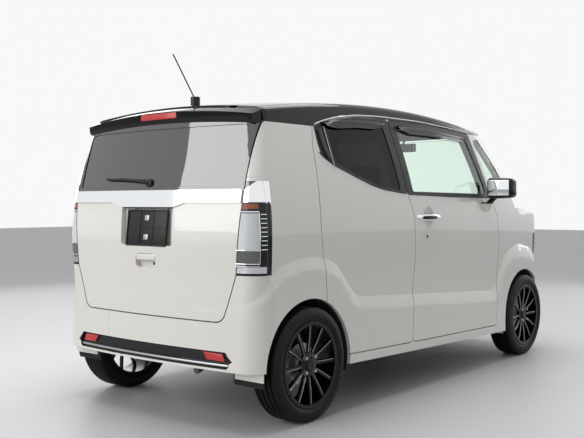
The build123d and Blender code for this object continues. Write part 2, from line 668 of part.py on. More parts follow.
def cowl_panel():
    """Panel between screen and bonnet, with the lugs and pins of the bonnet's hinges."""
    region = block(COWL_X - 120, COWL_X + 40, -BONNET_Y, BONNET_Y, 900, FENDER_TOP_Z - SEAT)
    panel = layer(region, BONNET_WALL, plain)
    panel -= top_prism(grown(bonnet_outline(), GAP + 3), 600, 1200)
    x, z = BONNET_HINGE_X, BONNET_HINGE_Z
    for y in (-BONNET_HINGE_Y, BONNET_HINGE_Y):
        reach = ARM / 2 + GAP
        room = BARREL_RADIUS + GAP
        panel -= block(x - room, x + room, y - reach, y + reach, z - 30, FENDER_TOP_Z)
        for low in (y - reach - 8, y + reach):
            panel += block(x - 8, x + 8, low, low + 8, z - 9, z + 28)
        panel += rod((x, y - reach - 4, z), (x, y + reach + 4, z), PIN_RADIUS)
    return panel


cowl = cowl_panel()


# ---- bonnet, front wings, lamps, grille and bumper -----------------------------------
def bonnet_arm(y):
    """Hinge arm from the bonnet's rear corner down and back to its pin."""
    x, z = BONNET_HINGE_X, BONNET_HINGE_Z
    y0, y1 = y - ARM / 2, y + ARM / 2
    low = z - 46
    arm = rod((x, y0, z), (x, y1, z), BARREL_RADIUS)
    arm += block(x - ARM / 2, x + ARM / 2, y0, y1, low, z)
    arm += block(x - ARM / 2, x + 125, y0, y1, low, low + ARM)
    arm += block(x + 115, x + 125, y0, y1, low, z)
    return arm - rod((x, y0 - 1, z), (x, y1 + 1, z), PIN_RADIUS + PIN_FIT)


def bonnet_panel():
    region = top_prism(bonnet_outline(), BONNET_EDGE_Z, 1200)
    panel = layer(region, BONNET_WALL, plain)
    panel -= body_form(BONNET_SKIN) & (region - top_prism(grown(bonnet_outline(), -BONNET_RIM), 0, 1200))
    for y in (-BONNET_HINGE_Y, BONNET_HINGE_Y):
        panel += bonnet_arm(y)
    return panel


def front_wing():
    """Thin left wing from the door to the lamp and the bumper."""
    region = block(WING_REAR_X, HALF_LENGTH, 0, FAR, SILL_Z, FENDER_TOP_Z - SEAT)
    wing = layer(region, FENDER_SKIN, left_outer)
    wing -= side_prism(grown(front_door, GAP))
    wing -= side_prism(sill_rows)
    wing -= wheel_bore(FRONT_AXLE_X, ARCH_RADIUS)
    wing -= lamp_room
    wing -= nose_room
    wing -= bonnet_room
    wing -= block(0, COWL_X + 60, -FAR, BONNET_Y + SEAT, 900, HEIGHT)
    return wing - block(0, HALF_LENGTH, -FAR, GRILLE_Y, 0, HEIGHT)


def head_lamp():
    """Left lamp: clear front wall and the housing behind it, one thick block."""
    region = rear_prism(head_lamp_outline(), LAMP_REAR_X, HALF_LENGTH + 50)
    return layer(region, LAMP_DEPTH, plain)


def grille_panel():
    """Panel between the lamps with a slotted intake."""
    frame_rows = both_sides(((GRILLE_Y, BUMPER_TOP_Z, 20), (GRILLE_Y, BONNET_EDGE_Z - GAP, 20)))
    panel = layer(rear_prism(frame_rows, 1400, HALF_LENGTH + 50), 26, plain)
    for low in (742, 778, 814, 850):
        slot = both_sides(((GRILLE_Y - 40, low, 8), (GRILLE_Y - 34, low + 22, 8)))
        panel -= rear_prism(slot, 1300, HALF_LENGTH + 50)
    return panel


def front_bumper_piece():
    """Wrap-round bumper with a lower intake split by two bars."""
    region = side_prism(grown(front_bumper_rows(), -JOINT), FAR, -FAR)
    piece = layer(region - belly, BUMPER_WALL)
    for side in (1, -1):
        bore = wheel_bore(FRONT_AXLE_X, ARCH_RADIUS)
        piece -= bore if side > 0 else mirrored(bore)
    for low in (270, 330, 390):
        slot = both_sides(((430, low, 10), (440 - 0.1 * low, low + 44, 10)))
        piece -= rear_prism(slot, 1400, HALF_LENGTH + 50)
    return piece


bonnet = bonnet_panel()
left_lamp_room = rear_prism(grown(head_lamp_outline(), JOINT), LAMP_REAR_X - JOINT, HALF_LENGTH + 50)
lamp_room = left_lamp_room + mirrored(left_lamp_room)
nose_room = side_prism(front_bumper_rows(), FAR, -FAR)
wing_left = front_wing()
lamp_front = head_lamp()
grille = grille_panel()
front_bumper = front_bumper_piece()


# ---- rear bumper and lamps ----------------------------------------------------------
def rear_bumper_piece():
    """Bumper under the tailgate and round both corners up to the lamps."""
    region = side_prism(rear_corner_rows(), FAR, -FAR) & zone(-2000, 0, SILL_Z, LAMP_BOTTOM_Z)
    piece = layer(region - belly, BUMPER_WALL) - gate_cut
    bore = wheel_bore(REAR_AXLE_X, ARCH_RADIUS)
    piece = piece - bore - mirrored(bore)
    rows = both_sides(((560, 300, 20), (542, 380, 20)))
    return piece - (rear_prism(rows, -HALF_LENGTH - 60, -1500) - body_form(BUMPER_WALL / 2))


def rear_lamp():
    """Left tail lamp, from bumper to belt, beside the tailgate."""
    region = side_prism(grown(rear_corner_rows(), -SEAT))
    region &= zone(-2000, 0, LAMP_BOTTOM_Z + JOINT, LAMP_TOP_Z)
    return layer(region, LAMP_DEPTH, plain) - gate_cut


def lamp_cap():
    """Bright end of the garnish, sweeping up above the left tail lamp."""
    region = side_prism(grown(rear_corner_rows(), -SEAT))
    region &= zone(-2000, 0, LAMP_TOP_Z + JOINT, BELT_Z + 200)
    return layer(region, LAMP_DEPTH, plain) - gate_cut


rear_bumper = rear_bumper_piece()
lamp_rear = rear_lamp()
cap_rear = lamp_cap()


# ---- lower body, floor and wheelhouses -------------------------------------------------
def sill_garnish():
    """Left sill cover between the wheel arches."""
    cover = layer(side_prism(grown(sill_rows, -SEAT)) - belly, SILL_WALL, left_outer)
    return cover - wheel_bore(REAR_AXLE_X, ARCH_RADIUS) - wheel_bore(FRONT_AXLE_X, ARCH_RADIUS)


def floor_piece():
    """Stepped floor with the bulkhead in front and the load floor's sill behind."""
    top = (
        (REAR_SILL_X, LOAD_FLOOR_Z + 70), (REAR_SILL_X + 40, LOAD_FLOOR_Z + 70),
        (REAR_SILL_X + 50, LOAD_FLOOR_Z), (REAR_AXLE_X + 250, LOAD_FLOOR_Z),
        (REAR_AXLE_X + 280, SEAT_FLOOR_Z), (REAR_AXLE_X + 770, SEAT_FLOOR_Z),
        (REAR_AXLE_X + 800, FLOOR_Z), (BULKHEAD_X - 130, FLOOR_Z), (BULKHEAD_X - FLOOR, FLOOR_Z + 150),
        (BULKHEAD_X - FLOOR, BULKHEAD_TOP_Z),
    )
    below = (
        (BULKHEAD_X, BULKHEAD_TOP_Z), (BULKHEAD_X, FLOOR_Z + 140), (BULKHEAD_X - 120, FLOOR_Z - FLOOR),
        (REAR_AXLE_X + 790 - FLOOR, FLOOR_Z - FLOOR), (REAR_AXLE_X + 760 - FLOOR, SEAT_FLOOR_Z - FLOOR),
        (REAR_AXLE_X + 270 - FLOOR, SEAT_FLOOR_Z - FLOOR), (REAR_AXLE_X + 240 - FLOOR, LOAD_FLOOR_Z - FLOOR),
        (REAR_SILL_X + 28, LOAD_FLOOR_Z - FLOOR), (REAR_SILL_X + 18, LOAD_FLOOR_Z + 48),
        (REAR_SILL_X, LOAD_FLOOR_Z + 48),
    )
    rows = [(x, z, 0) for x, z in top + below]
    floor = cabin_fit & side_prism(rows, FAR, -FAR)
    for axle_x, wall_y in ((REAR_AXLE_X, WHEELHOUSE_Y), (FRONT_AXLE_X, FRONT_HOUSE_Y)):
        room = wheel_bore(axle_x, ARCH_RADIUS, wall_y)
        floor = floor - room - mirrored(room)
    return floor


def wheelhouse(axle_x, wall_y, low_z):
    """Round liner over one left wheel with its inner wall, open below."""
    radius = ARCH_RADIUS - SEAT
    liner = wheel_bore(axle_x, radius, wall_y + SEAT) - wheel_bore(axle_x, radius - LINER, wall_y + LINER)
    liner -= block(axle_x - 400, axle_x + 400, 0, FAR, 0, SILL_Z + 60)
    liner -= block(axle_x - 400, axle_x + 400, 0, wall_y + LINER, 0, low_z)
    return liner & liner_room


def strut_tower(house):
    """The front wheelhouse with the tower that carries the strut's top."""
    y = strut_y(STRUT_TOP_Z) + 4
    low = AXLE_HEIGHT + ARCH_RADIUS - 60
    tower = rod((FRONT_AXLE_X, y, low), (FRONT_AXLE_X, y, STRUT_TOP_Z), TOWER_RADIUS)
    tower -= wheel_bore(FRONT_AXLE_X, ARCH_RADIUS - SEAT - LINER, FRONT_HOUSE_Y + LINER)
    inside = rod((FRONT_AXLE_X, y, low - 10), (FRONT_AXLE_X, y, STRUT_TOP_Z - 8), TOWER_RADIUS - LINER)
    return house + tower - inside - steer_rod(STRUT_TOP_Z - 20, STRUT_TOP_Z + 20, ROD_RADIUS + PIN_FIT)


def steer_y(z):
    """Where the left steering axis is at a height."""
    return WHEEL_Y - STEER_OFFSET - (z - AXLE_HEIGHT) * sin(radians(STEER_TILT)) / cos(radians(STEER_TILT))


def strut_y(z):
    """Centre of the left front strut, on the steering axis at its top."""
    return steer_y(STRUT_TOP_Z) + 0.02 * (STRUT_TOP_Z - z)


def steer_rod(low, high, radius):
    """A round bar on the left steering axis."""
    return rod((FRONT_AXLE_X, steer_y(low), low), (FRONT_AXLE_X, steer_y(high), high), radius)


sill_left = sill_garnish()
floor_pan = floor_piece()
house_rear = wheelhouse(REAR_AXLE_X, WHEELHOUSE_Y, LOAD_FLOOR_Z - FLOOR)
house_front = strut_tower(wheelhouse(FRONT_AXLE_X, FRONT_HOUSE_Y, SILL_Z + 60))


def mudguards():
    """Flaps behind the four wheels; their outer part hangs under the body's edge."""
    table = (   # front face x, inner y, step y, outer y, low z, edge z, high z
        (FRONT_AXLE_X - ARCH_RADIUS - SEAT, 575, 654, 712, 186, 203, 330),
        (REAR_AXLE_X - ARCH_RADIUS - SEAT, 520, 640, 700, 242, 287, LOAD_FLOOR_Z - FLOOR - SEAT),
    )
    flaps = []
    for x, inner, step, rim_y, low, edge, high in table:
        flap = block(x - 6, x, inner, step, low, high) + block(x - 6, x, inner, rim_y, low, edge)
        flaps += [flap, mirrored(flap)]
    return flaps


# ---- wheels ------------------------------------------------------------------------------
def tyre():
    """Tyre about the Y axis, centred on the origin."""
    bead_y, bead_r = 69.7, RIM_SEAT_RADIUS + SEAT
    tread_y, half = 62.0, TYRE_WIDTH / 2
    shoulder = ((tread_y, TYRE_RADIUS), (74, TYRE_RADIUS - 10))
    face = make_face(Wire([
        Line((-tread_y, TYRE_RADIUS), (tread_y, TYRE_RADIUS)),
        ThreePointArc(shoulder[0], (70, TYRE_RADIUS - 3), shoulder[1]),
        ThreePointArc(shoulder[1], (half, 247), (bead_y, RIM_RADIUS + 2)),
        Line((bead_y, RIM_RADIUS + 2), (bead_y, bead_r)),
        Line((bead_y, bead_r), (-bead_y, bead_r)),
        Line((-bead_y, bead_r), (-bead_y, RIM_RADIUS + 2)),
        ThreePointArc((-bead_y, RIM_RADIUS + 2), (-half, 247), (-74, TYRE_RADIUS - 10)),
        ThreePointArc((-74, TYRE_RADIUS - 10), (-70, TYRE_RADIUS - 3), (-tread_y, TYRE_RADIUS)),
    ]))
    return Rot(0, 0, 90) * revolve(Plane.XZ * face, Axis.X)


def ring_profile(rows):
    """A solid of revolution about Y from rows of distance along it and radius."""
    return Rot(0, 0, 90) * revolve(Plane.XZ * make_face(Polyline(*rows, close=True)), Axis.X)


def rim(brake_radius, brake_in, brake_out):
    """Spoked rim about Y, outboard to +Y, with its hub and the brake's turning part."""
    seat, lip = RIM_SEAT_RADIUS, RIM_RADIUS
    body = ring_profile((
        (-76, lip), (-70, lip), (-70, seat), (70, seat), (70, lip), (76, lip),
        (76, seat - 7), (-76, seat - 7)))
    hub = ring_profile((
        (-42, 0), (-42, 36), (40, 36), (40, 62), (56, 62), (62, 34), (66, 30), (66, 0)))
    brake = ring_profile((
        (brake_in, 0), (brake_in, brake_radius), (brake_out, brake_radius), (brake_out, 0)))
    spoke_face = Plane.YZ * make_face(Polyline(
        (44, 50), (57, 50), (68, 140), (70, seat - 4), (52, seat - 4), (50, 140), close=True))
    spoke = extrude(spoke_face, amount=7, both=True)
    wheel = body + hub + brake
    for i in range(SPOKES):
        wheel += Rot(0, 360 / SPOKES * i, 0) * spoke
    return wheel - rod((0, -80, 0), (0, SPINDLE_REACH + 5, 0), SPINDLE_RADIUS + PIN_FIT)


def placed(piece, axle_x, side):
    """A left wheel's piece at its axle; mirrored for the right side."""
    there = Pos(axle_x, WHEEL_Y, AXLE_HEIGHT) * piece
    return there if side > 0 else mirrored(there)


tyre_piece = tyre()
rim_front = rim(118, -10, 0)
rim_rear = rim(104, -38, 8)


# ---- front suspension ---------------------------------------------------------------------
def knuckle():
    """Left hub carrier with spindle, strut and brake caliper."""
    x, y = FRONT_AXLE_X, WHEEL_Y
    inner = y - 68
    carrier = rod((x, inner, AXLE_HEIGHT), (x, y - 48, AXLE_HEIGHT), 44)
    carrier += rod((x, inner, AXLE_HEIGHT), (x, y + SPINDLE_REACH, AXLE_HEIGHT), SPINDLE_RADIUS)
    leg_y = steer_y(BALL_Z + 16)
    carrier += block(x - 22, x + 22, inner + 6, y - 50, BALL_Z + 12, AXLE_HEIGHT)
    carrier += block(x - 20, x + 20, y - 60, leg_y + 12, BALL_Z + 12, AXLE_HEIGHT - 60)
    carrier += steer_rod(BALL_Z - 16, BALL_Z + 22, BALL_RADIUS)
    low = 360
    carrier += block(x - 18, x + 18, strut_y(low) - 16, inner + 12, AXLE_HEIGHT - 20, AXLE_HEIGHT + 26)
    carrier += block(x - 18, x + 18, strut_y(low) - 16, strut_y(low) + 20, AXLE_HEIGHT, low + 60)
    carrier += rod((x, strut_y(low), low), (x, strut_y(640), 640), 24)
    carrier += rod((x, strut_y(630), 630), (x, strut_y(640), 640), 50)
    carrier += rod((x, strut_y(640), 640), (x, strut_y(765), 765), 42)
    carrier += steer_rod(755, STRUT_TOP_Z + 12, ROD_RADIUS)
    caliper = block(x + 78, x + 128, y - 60, y + 22, AXLE_HEIGHT - 45, AXLE_HEIGHT + 45)
    caliper -= rod((x, y - 16, AXLE_HEIGHT), (x, y + 6, AXLE_HEIGHT), 124)
    caliper += block(x + 30, x + 84, y - 60, y - 48, AXLE_HEIGHT - 30, AXLE_HEIGHT + 30)
    return carrier + caliper


def front_subframe():
    """Cross member with a lower arm out to each ball joint."""
    x = FRONT_AXLE_X
    top = FLOOR_Z - FLOOR - SEAT
    frame = block(x - 130, x + 40, -360, 360, BALL_Z - 8, top)
    frame += block(x - 75, x - 15, -40, 40, BALL_Z - 8 - JACK_PAD, BALL_Z)
    for y in (-315, 315):
        frame += block(x - 490, x + 315, y - 25, y + 25, top - 40, top)
    end = steer_y(BALL_Z)
    arm = extrude(Plane.XY.offset(BALL_Z - 8) * make_face(Polyline(
        (x - 120, 330), (x + 30, 330), (x + BALL_HOUSING, end), (x - BALL_HOUSING, end), close=True)),
        amount=16)
    arm += Pos(x, end, BALL_Z) * Cylinder(BALL_HOUSING, 16)
    arm -= steer_rod(BALL_Z - 40, BALL_Z + 40, BALL_RADIUS + PIN_FIT)
    return frame + arm + mirrored(arm)


knuckle_left = knuckle()
subframe = front_subframe()


# ---- rear axle, exhaust, tank, engine -------------------------------------------------------
def tube(points, radius):
    """A round pipe through points, with round elbows."""
    pipe = rod(points[0], points[1], radius)
    for start, end in zip(points[1:-1], points[2:]):
        pipe += Pos(*start) * Sphere(radius)
        pipe += rod(start, end, radius)
    return pipe


def rear_axle():
    """Twist beam with trailing arms, stub spindles, springs and dampers."""
    x, z = REAR_AXLE_X, AXLE_HEIGHT
    beam = rod((x + 110, -440, z + 10), (x + 110, 440, z + 10), 32)
    for side in (1, -1):
        arm = tube(((x + 340, 440 * side, z - 10), (x + 110, 450 * side, z + 10), (x, 520 * side, z)), 24)
        arm += rod((x, 505 * side, z), (x, (WHEEL_Y - 46) * side, z), 40)
        arm += rod((x, 560 * side, z), (x, (WHEEL_Y + SPINDLE_REACH) * side, z), SPINDLE_RADIUS)
        arm += rod((x + 50, 430 * side, z + 10), (x + 50, 430 * side, LOAD_FLOOR_Z - FLOOR - SEAT), 46)
        top = (x - 60, 532 * side, DAMPER_TOP_Z)
        arm += rod((x - 30, 524 * side, z), top, 18)
        arm += rod((x + 340, 400 * side, z - 10), (x + 340, 470 * side, z - 10), 28)
        beam += arm
    return beam


def exhaust():
    """Pipe from the engine over the rear axle to a cross silencer and its tail pipe."""
    x = REAR_AXLE_X
    pipe = tube(((ENGINE_X + 10, -40, 266), (900, -60, 204), (x + 780, -140, 204), (x + 240, -140, 204),
                 (x + 190, -140, 372), (x - 80, -140, 372), (x - 160, -140, 340)), 18)
    pipe -= block(ENGINE_X - SEAT, ENGINE_X + 60, -100, 20, 200, 320)
    silencer = Rot(90, 0, 0) * extrude(Ellipse(74, 42), amount=460, both=False)
    pipe += Pos(x - 225, 120, 340) * silencer
    return pipe + tube(((x - 225, -300, 330), (x - 300, -330, 300), (x - 405, -330, 268)), 18)


def seat(front_x, length, width, floor_z, back_top, lean):
    """Cushion, leaning backrest and head restraint in one, centred on y = 0."""
    cushion_z = floor_z + 300
    cushion = block(front_x - length, front_x, -width / 2, width / 2, floor_z + 130, cushion_z)
    cushion = fillet(cushion.edges(), 30)
    rear = front_x - length
    back = Plane.XZ.offset(-width / 2) * make_face(Polyline(
        (rear + 90, cushion_z - 60), (rear - 30, cushion_z - 60),
        (rear - 30 - lean, back_top), (rear + 50 - lean, back_top), close=True))
    back = extrude(back, amount=width)
    return cushion + fillet(back.edges(), 24)


axle_rear = rear_axle()
exhaust_pipe = exhaust()
tank_block = block(REAR_AXLE_X + 330, REAR_AXLE_X + 740, -60, 370, 182, SEAT_FLOOR_Z - FLOOR - SEAT)
tank = fillet(tank_block.edges(), 25)
engine = block(ENGINE_X, FRONT_AXLE_X + 210, -280, 280, FLOOR_Z - FLOOR, 840)
radiator = block(FRONT_AXLE_X + 290, FRONT_AXLE_X + 315, -330, 330, FLOOR_Z - FLOOR, 690)


# ---- cabin -----------------------------------------------------------------------------------
def seats():
    """Two front seats on their rails and a rear bench, with head restraints."""
    pieces = []
    for y in (-SEAT_Y, SEAT_Y):
        chair = Pos(0, y, 0) * seat(430, 500, 480, FLOOR_Z, 1140, 130)
        chair += fillet(block(-245, -165, y - 120, y + 120, 1160, 1320).edges(), 25)
        chair += rod((-195, y, 1100), (-205, y, 1200), 12)
        chair += block(0, 380, y - 200, y + 200, FLOOR_Z + SEAT, FLOOR_Z + 140)
        pieces.append(chair)
    bench = seat(-440, 420, 1120, SEAT_FLOOR_Z - 60, 1060, 110) - block(-2000, -900, 480, FAR, 0, 1000) \
        - block(-2000, -900, -FAR, -480, 0, 1000)
    bench += block(-830, -480, -500, 500, SEAT_FLOOR_Z + SEAT, SEAT_FLOOR_Z + 90)
    for y in (-290, 290):
        bench += fillet(block(-985, -910, y - 120, y + 120, 1075, 1220).edges(), 25)
        bench += rod((-945, y, 1030), (-950, y, 1120), 12)
    return pieces + [bench]


def dashboard():
    """Deep moulding from wall to wall, from the steering column to the screen's foot."""
    rows = (
        (700, 930, 20), (745, 1005, 30), (1150, 1062, 20), (1185, 1040, 8), (1000, 960, 10),
        (BULKHEAD_X + 30, BULKHEAD_TOP_Z + SEAT, 0), (BULKHEAD_X - FLOOR - SEAT, BULKHEAD_TOP_Z + SEAT, 0),
        (BULKHEAD_X - FLOOR - SEAT, 640, 10), (800, 640, 20), (740, 760, 40),
    )
    moulding = (cabin_fit & side_prism(rows, FAR, -FAR)) - block(0, 2000, 600, FAR, 0, 2000) \
        - block(0, 2000, -FAR, -600, 0, 2000)
    return moulding - column(COLUMN_RADIUS + PIN_FIT, -COLUMN_DEPTH - 5)


def column(radius, low):
    """The steering column along its axis, from the wheel's hub into the dashboard."""
    axis = Vector(cos(radians(COLUMN_TILT)), 0, -sin(radians(COLUMN_TILT)))
    hub = Vector(STEERING_X, STEERING_Y, STEERING_Z)
    return rod(hub, hub - axis * low, radius)


def steering_wheel():
    """Ring, three spokes and hub on the column."""
    ring = Torus(STEERING_RADIUS, 14)
    ring += Cylinder(62, 44)
    for angle in (0, 180, 270):
        ring += Rot(0, 0, angle) * Pos(STEERING_RADIUS / 2 + 10, 0, 0) * Box(STEERING_RADIUS - 10, 34, 12)
    wheel = Pos(STEERING_X, STEERING_Y, STEERING_Z) * Rot(0, COLUMN_TILT - 90, 0) * ring
    return wheel + column(COLUMN_RADIUS, -COLUMN_DEPTH)


seat_pieces = seats()
dash = dashboard()
wheel_steering = steering_wheel()


# ---- mirrors, handles, wiper, antenna ----------------------------------------------------------
def door_mirror():
    """Left mirror: rounded housing on a teardrop foot."""
    housing = fillet(block(600, 690, 752, 912, 1114, 1250).edges(), 28)
    foot = rod((660, side_y(660) - 3, 1052), (655, 775, 1125), 26)
    return housing + (foot - body_form(-SEAT))


def door_handle():
    """Pull handle on its two feet at the rear of a front door."""
    z, y = 1000, side_y(B_GAP_X) - 3
    bar = block(B_GAP_X + 42, B_GAP_X + 238, y + 14, y + 26, z - 13, z + 13)
    for x in (B_GAP_X + 50, B_GAP_X + 216):
        bar += block(x, x + 14, y - 10, y + 20, z - 9, z + 9)
    return bar - body_form(-SEAT)


def tail_wiper():
    """Parked wiper: spindle, arm and blade along the window's foot."""
    x = -HALF_LENGTH + 42
    spindle = rod((x + 8, 0, 1186), (x - 24, 0, 1186), 16) - body_form(GLASS_INSET - SEAT)
    arm = rod((x - 18, 0, 1186), (x - 2, 250, 1206), 6)
    arm += rod((x - 12, 60, 1191), (x + 9, 330, 1208), 5)
    return spindle + (arm - body_form(-SEAT))


def antenna():
    """Short whip on a rounded foot at the rear of the roof."""
    base = rod((-1330, 0, 1610), (-1330, 0, 1655), 26)
    return (base + rod((-1330, 0, 1640), (-1493, 0, 1864), 3.5)) - body_form(-SEAT)


mirror_left = door_mirror()
handle_left = door_handle()
wiper = tail_wiper()
aerial = antenna()


# ---- one file a node ----------------------------------------------------------------------------
def pair(piece):
    """A left piece with its twin on the right."""
    return [piece, mirrored(piece)]


nodes = {
    "side_frames": pair(frame_left), "roof_panel": [roof_main], "floor_pan": [floor_pan],
    "front_wings": pair(wing_left), "front_bumper": [front_bumper], "rear_bumper": [rear_bumper],
    "windscreen": [windscreen], "quarter_windows": pair(quarter_glass), "cowl_panel": [cowl],
    "grille": [grille], "head_lamps": pair(lamp_front), "tail_lamps": pair(lamp_rear),
    "lamp_caps": pair(cap_rear), "sill_garnishes": pair(sill_left), "mudguards": mudguards(),
    "wheelhouses": pair(house_rear) + pair(house_front), "engine_block": [engine], "radiator": [radiator],
    "front_subframe": [subframe], "rear_axle": [axle_rear], "exhaust": [exhaust_pipe], "fuel_tank": [tank],
    "dashboard": [dash], "seats": seat_pieces, "antenna": [aerial],
    "tailgate": [gate], "tailgate_glass": [gate_glass], "tailgate_garnish": [garnish],
    "spoiler": [spoiler], "rear_wiper": [wiper], "bonnet": [bonnet], "steering_wheel": [wheel_steering],
}
for name, piece in (
    ("door_front", door_front), ("door_rear", door_rear), ("door_glass_front", glass_front),
    ("door_glass_rear", glass_rear), ("door_mirror", mirror_left), ("door_handle", handle_left),
    ("knuckle", knuckle_left),
):
    nodes[name + "_left"] = [piece]
    nodes[name + "_right"] = [mirrored(piece)]
for place, axle_x, rim_piece in (("front", FRONT_AXLE_X, rim_front), ("rear", REAR_AXLE_X, rim_rear)):
    for side_name, side in (("left", 1), ("right", -1)):
        nodes[f"tyre_{place}_{side_name}"] = [placed(tyre_piece, axle_x, side)]
        nodes[f"rim_{place}_{side_name}"] = [placed(rim_piece, axle_x, side)]

os.makedirs("parts", exist_ok=True)
for node, pieces in nodes.items():
    solids = [solid for piece in pieces for solid in piece.solids()]
    shape = solids[0] if len(solids) == 1 else Compound(solids)
    export_step(shape, f"parts/{node}.step")
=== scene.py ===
"""Looks of a five-door kei-class tall hatchback, built round its fixed frame."""
import sys

import json
import logging
import math
from dataclasses import dataclass, field
from enum import Enum
from typing import Callable, Iterable, Sequence

import bpy
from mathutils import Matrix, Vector
from mathutils.bvhtree import BVHTree

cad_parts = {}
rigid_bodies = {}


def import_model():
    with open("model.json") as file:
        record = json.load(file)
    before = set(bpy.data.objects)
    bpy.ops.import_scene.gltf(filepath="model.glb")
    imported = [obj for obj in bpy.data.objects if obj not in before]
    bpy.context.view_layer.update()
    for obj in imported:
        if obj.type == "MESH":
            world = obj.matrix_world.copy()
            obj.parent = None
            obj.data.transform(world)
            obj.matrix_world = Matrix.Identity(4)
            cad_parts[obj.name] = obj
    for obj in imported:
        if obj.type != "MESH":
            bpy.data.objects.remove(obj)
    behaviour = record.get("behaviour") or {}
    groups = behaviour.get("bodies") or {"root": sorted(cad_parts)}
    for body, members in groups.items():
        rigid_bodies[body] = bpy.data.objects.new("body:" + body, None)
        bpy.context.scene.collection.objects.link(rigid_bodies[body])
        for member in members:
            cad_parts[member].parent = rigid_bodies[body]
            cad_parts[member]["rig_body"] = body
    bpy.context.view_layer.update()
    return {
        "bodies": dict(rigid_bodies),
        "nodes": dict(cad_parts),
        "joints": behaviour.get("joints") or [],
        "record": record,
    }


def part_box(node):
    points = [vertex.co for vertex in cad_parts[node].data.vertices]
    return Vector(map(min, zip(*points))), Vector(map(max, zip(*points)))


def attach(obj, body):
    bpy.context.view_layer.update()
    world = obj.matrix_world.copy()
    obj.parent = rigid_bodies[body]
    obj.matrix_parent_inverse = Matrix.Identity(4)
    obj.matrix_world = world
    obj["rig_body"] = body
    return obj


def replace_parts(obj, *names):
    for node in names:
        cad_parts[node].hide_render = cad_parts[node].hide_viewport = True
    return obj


LOG = logging.getLogger("kei_car")
MM = 0.001
Colour = tuple[float, float, float]
Rows = Sequence[tuple[float, float]]


# ---- finishes --------------------------------------------------------------------
class Grain(Enum):
    """Fine pattern of a surface: texture, scale per metre, bump height in mm, spread of roughness."""

    PEEL = ("noise", 420.0, 0.004, 0.02)
    FLAKE = ("voronoi", 1500.0, 0.002, 0.05)
    MOULDED = ("noise", 1600.0, 0.05, 0.10)
    LEATHER = ("voronoi", 520.0, 0.18, 0.12)
    WOVEN = ("wave", 560.0, 0.22, 0.10)
    BRUSHED = ("brush", 900.0, 0.01, 0.12)
    CAST = ("noise", 700.0, 0.25, 0.15)
    SHEER = ("noise", 60.0, 0.001, 0.01)
    RIBBED = ("ribs", 62.0, 1.1, 0.04)


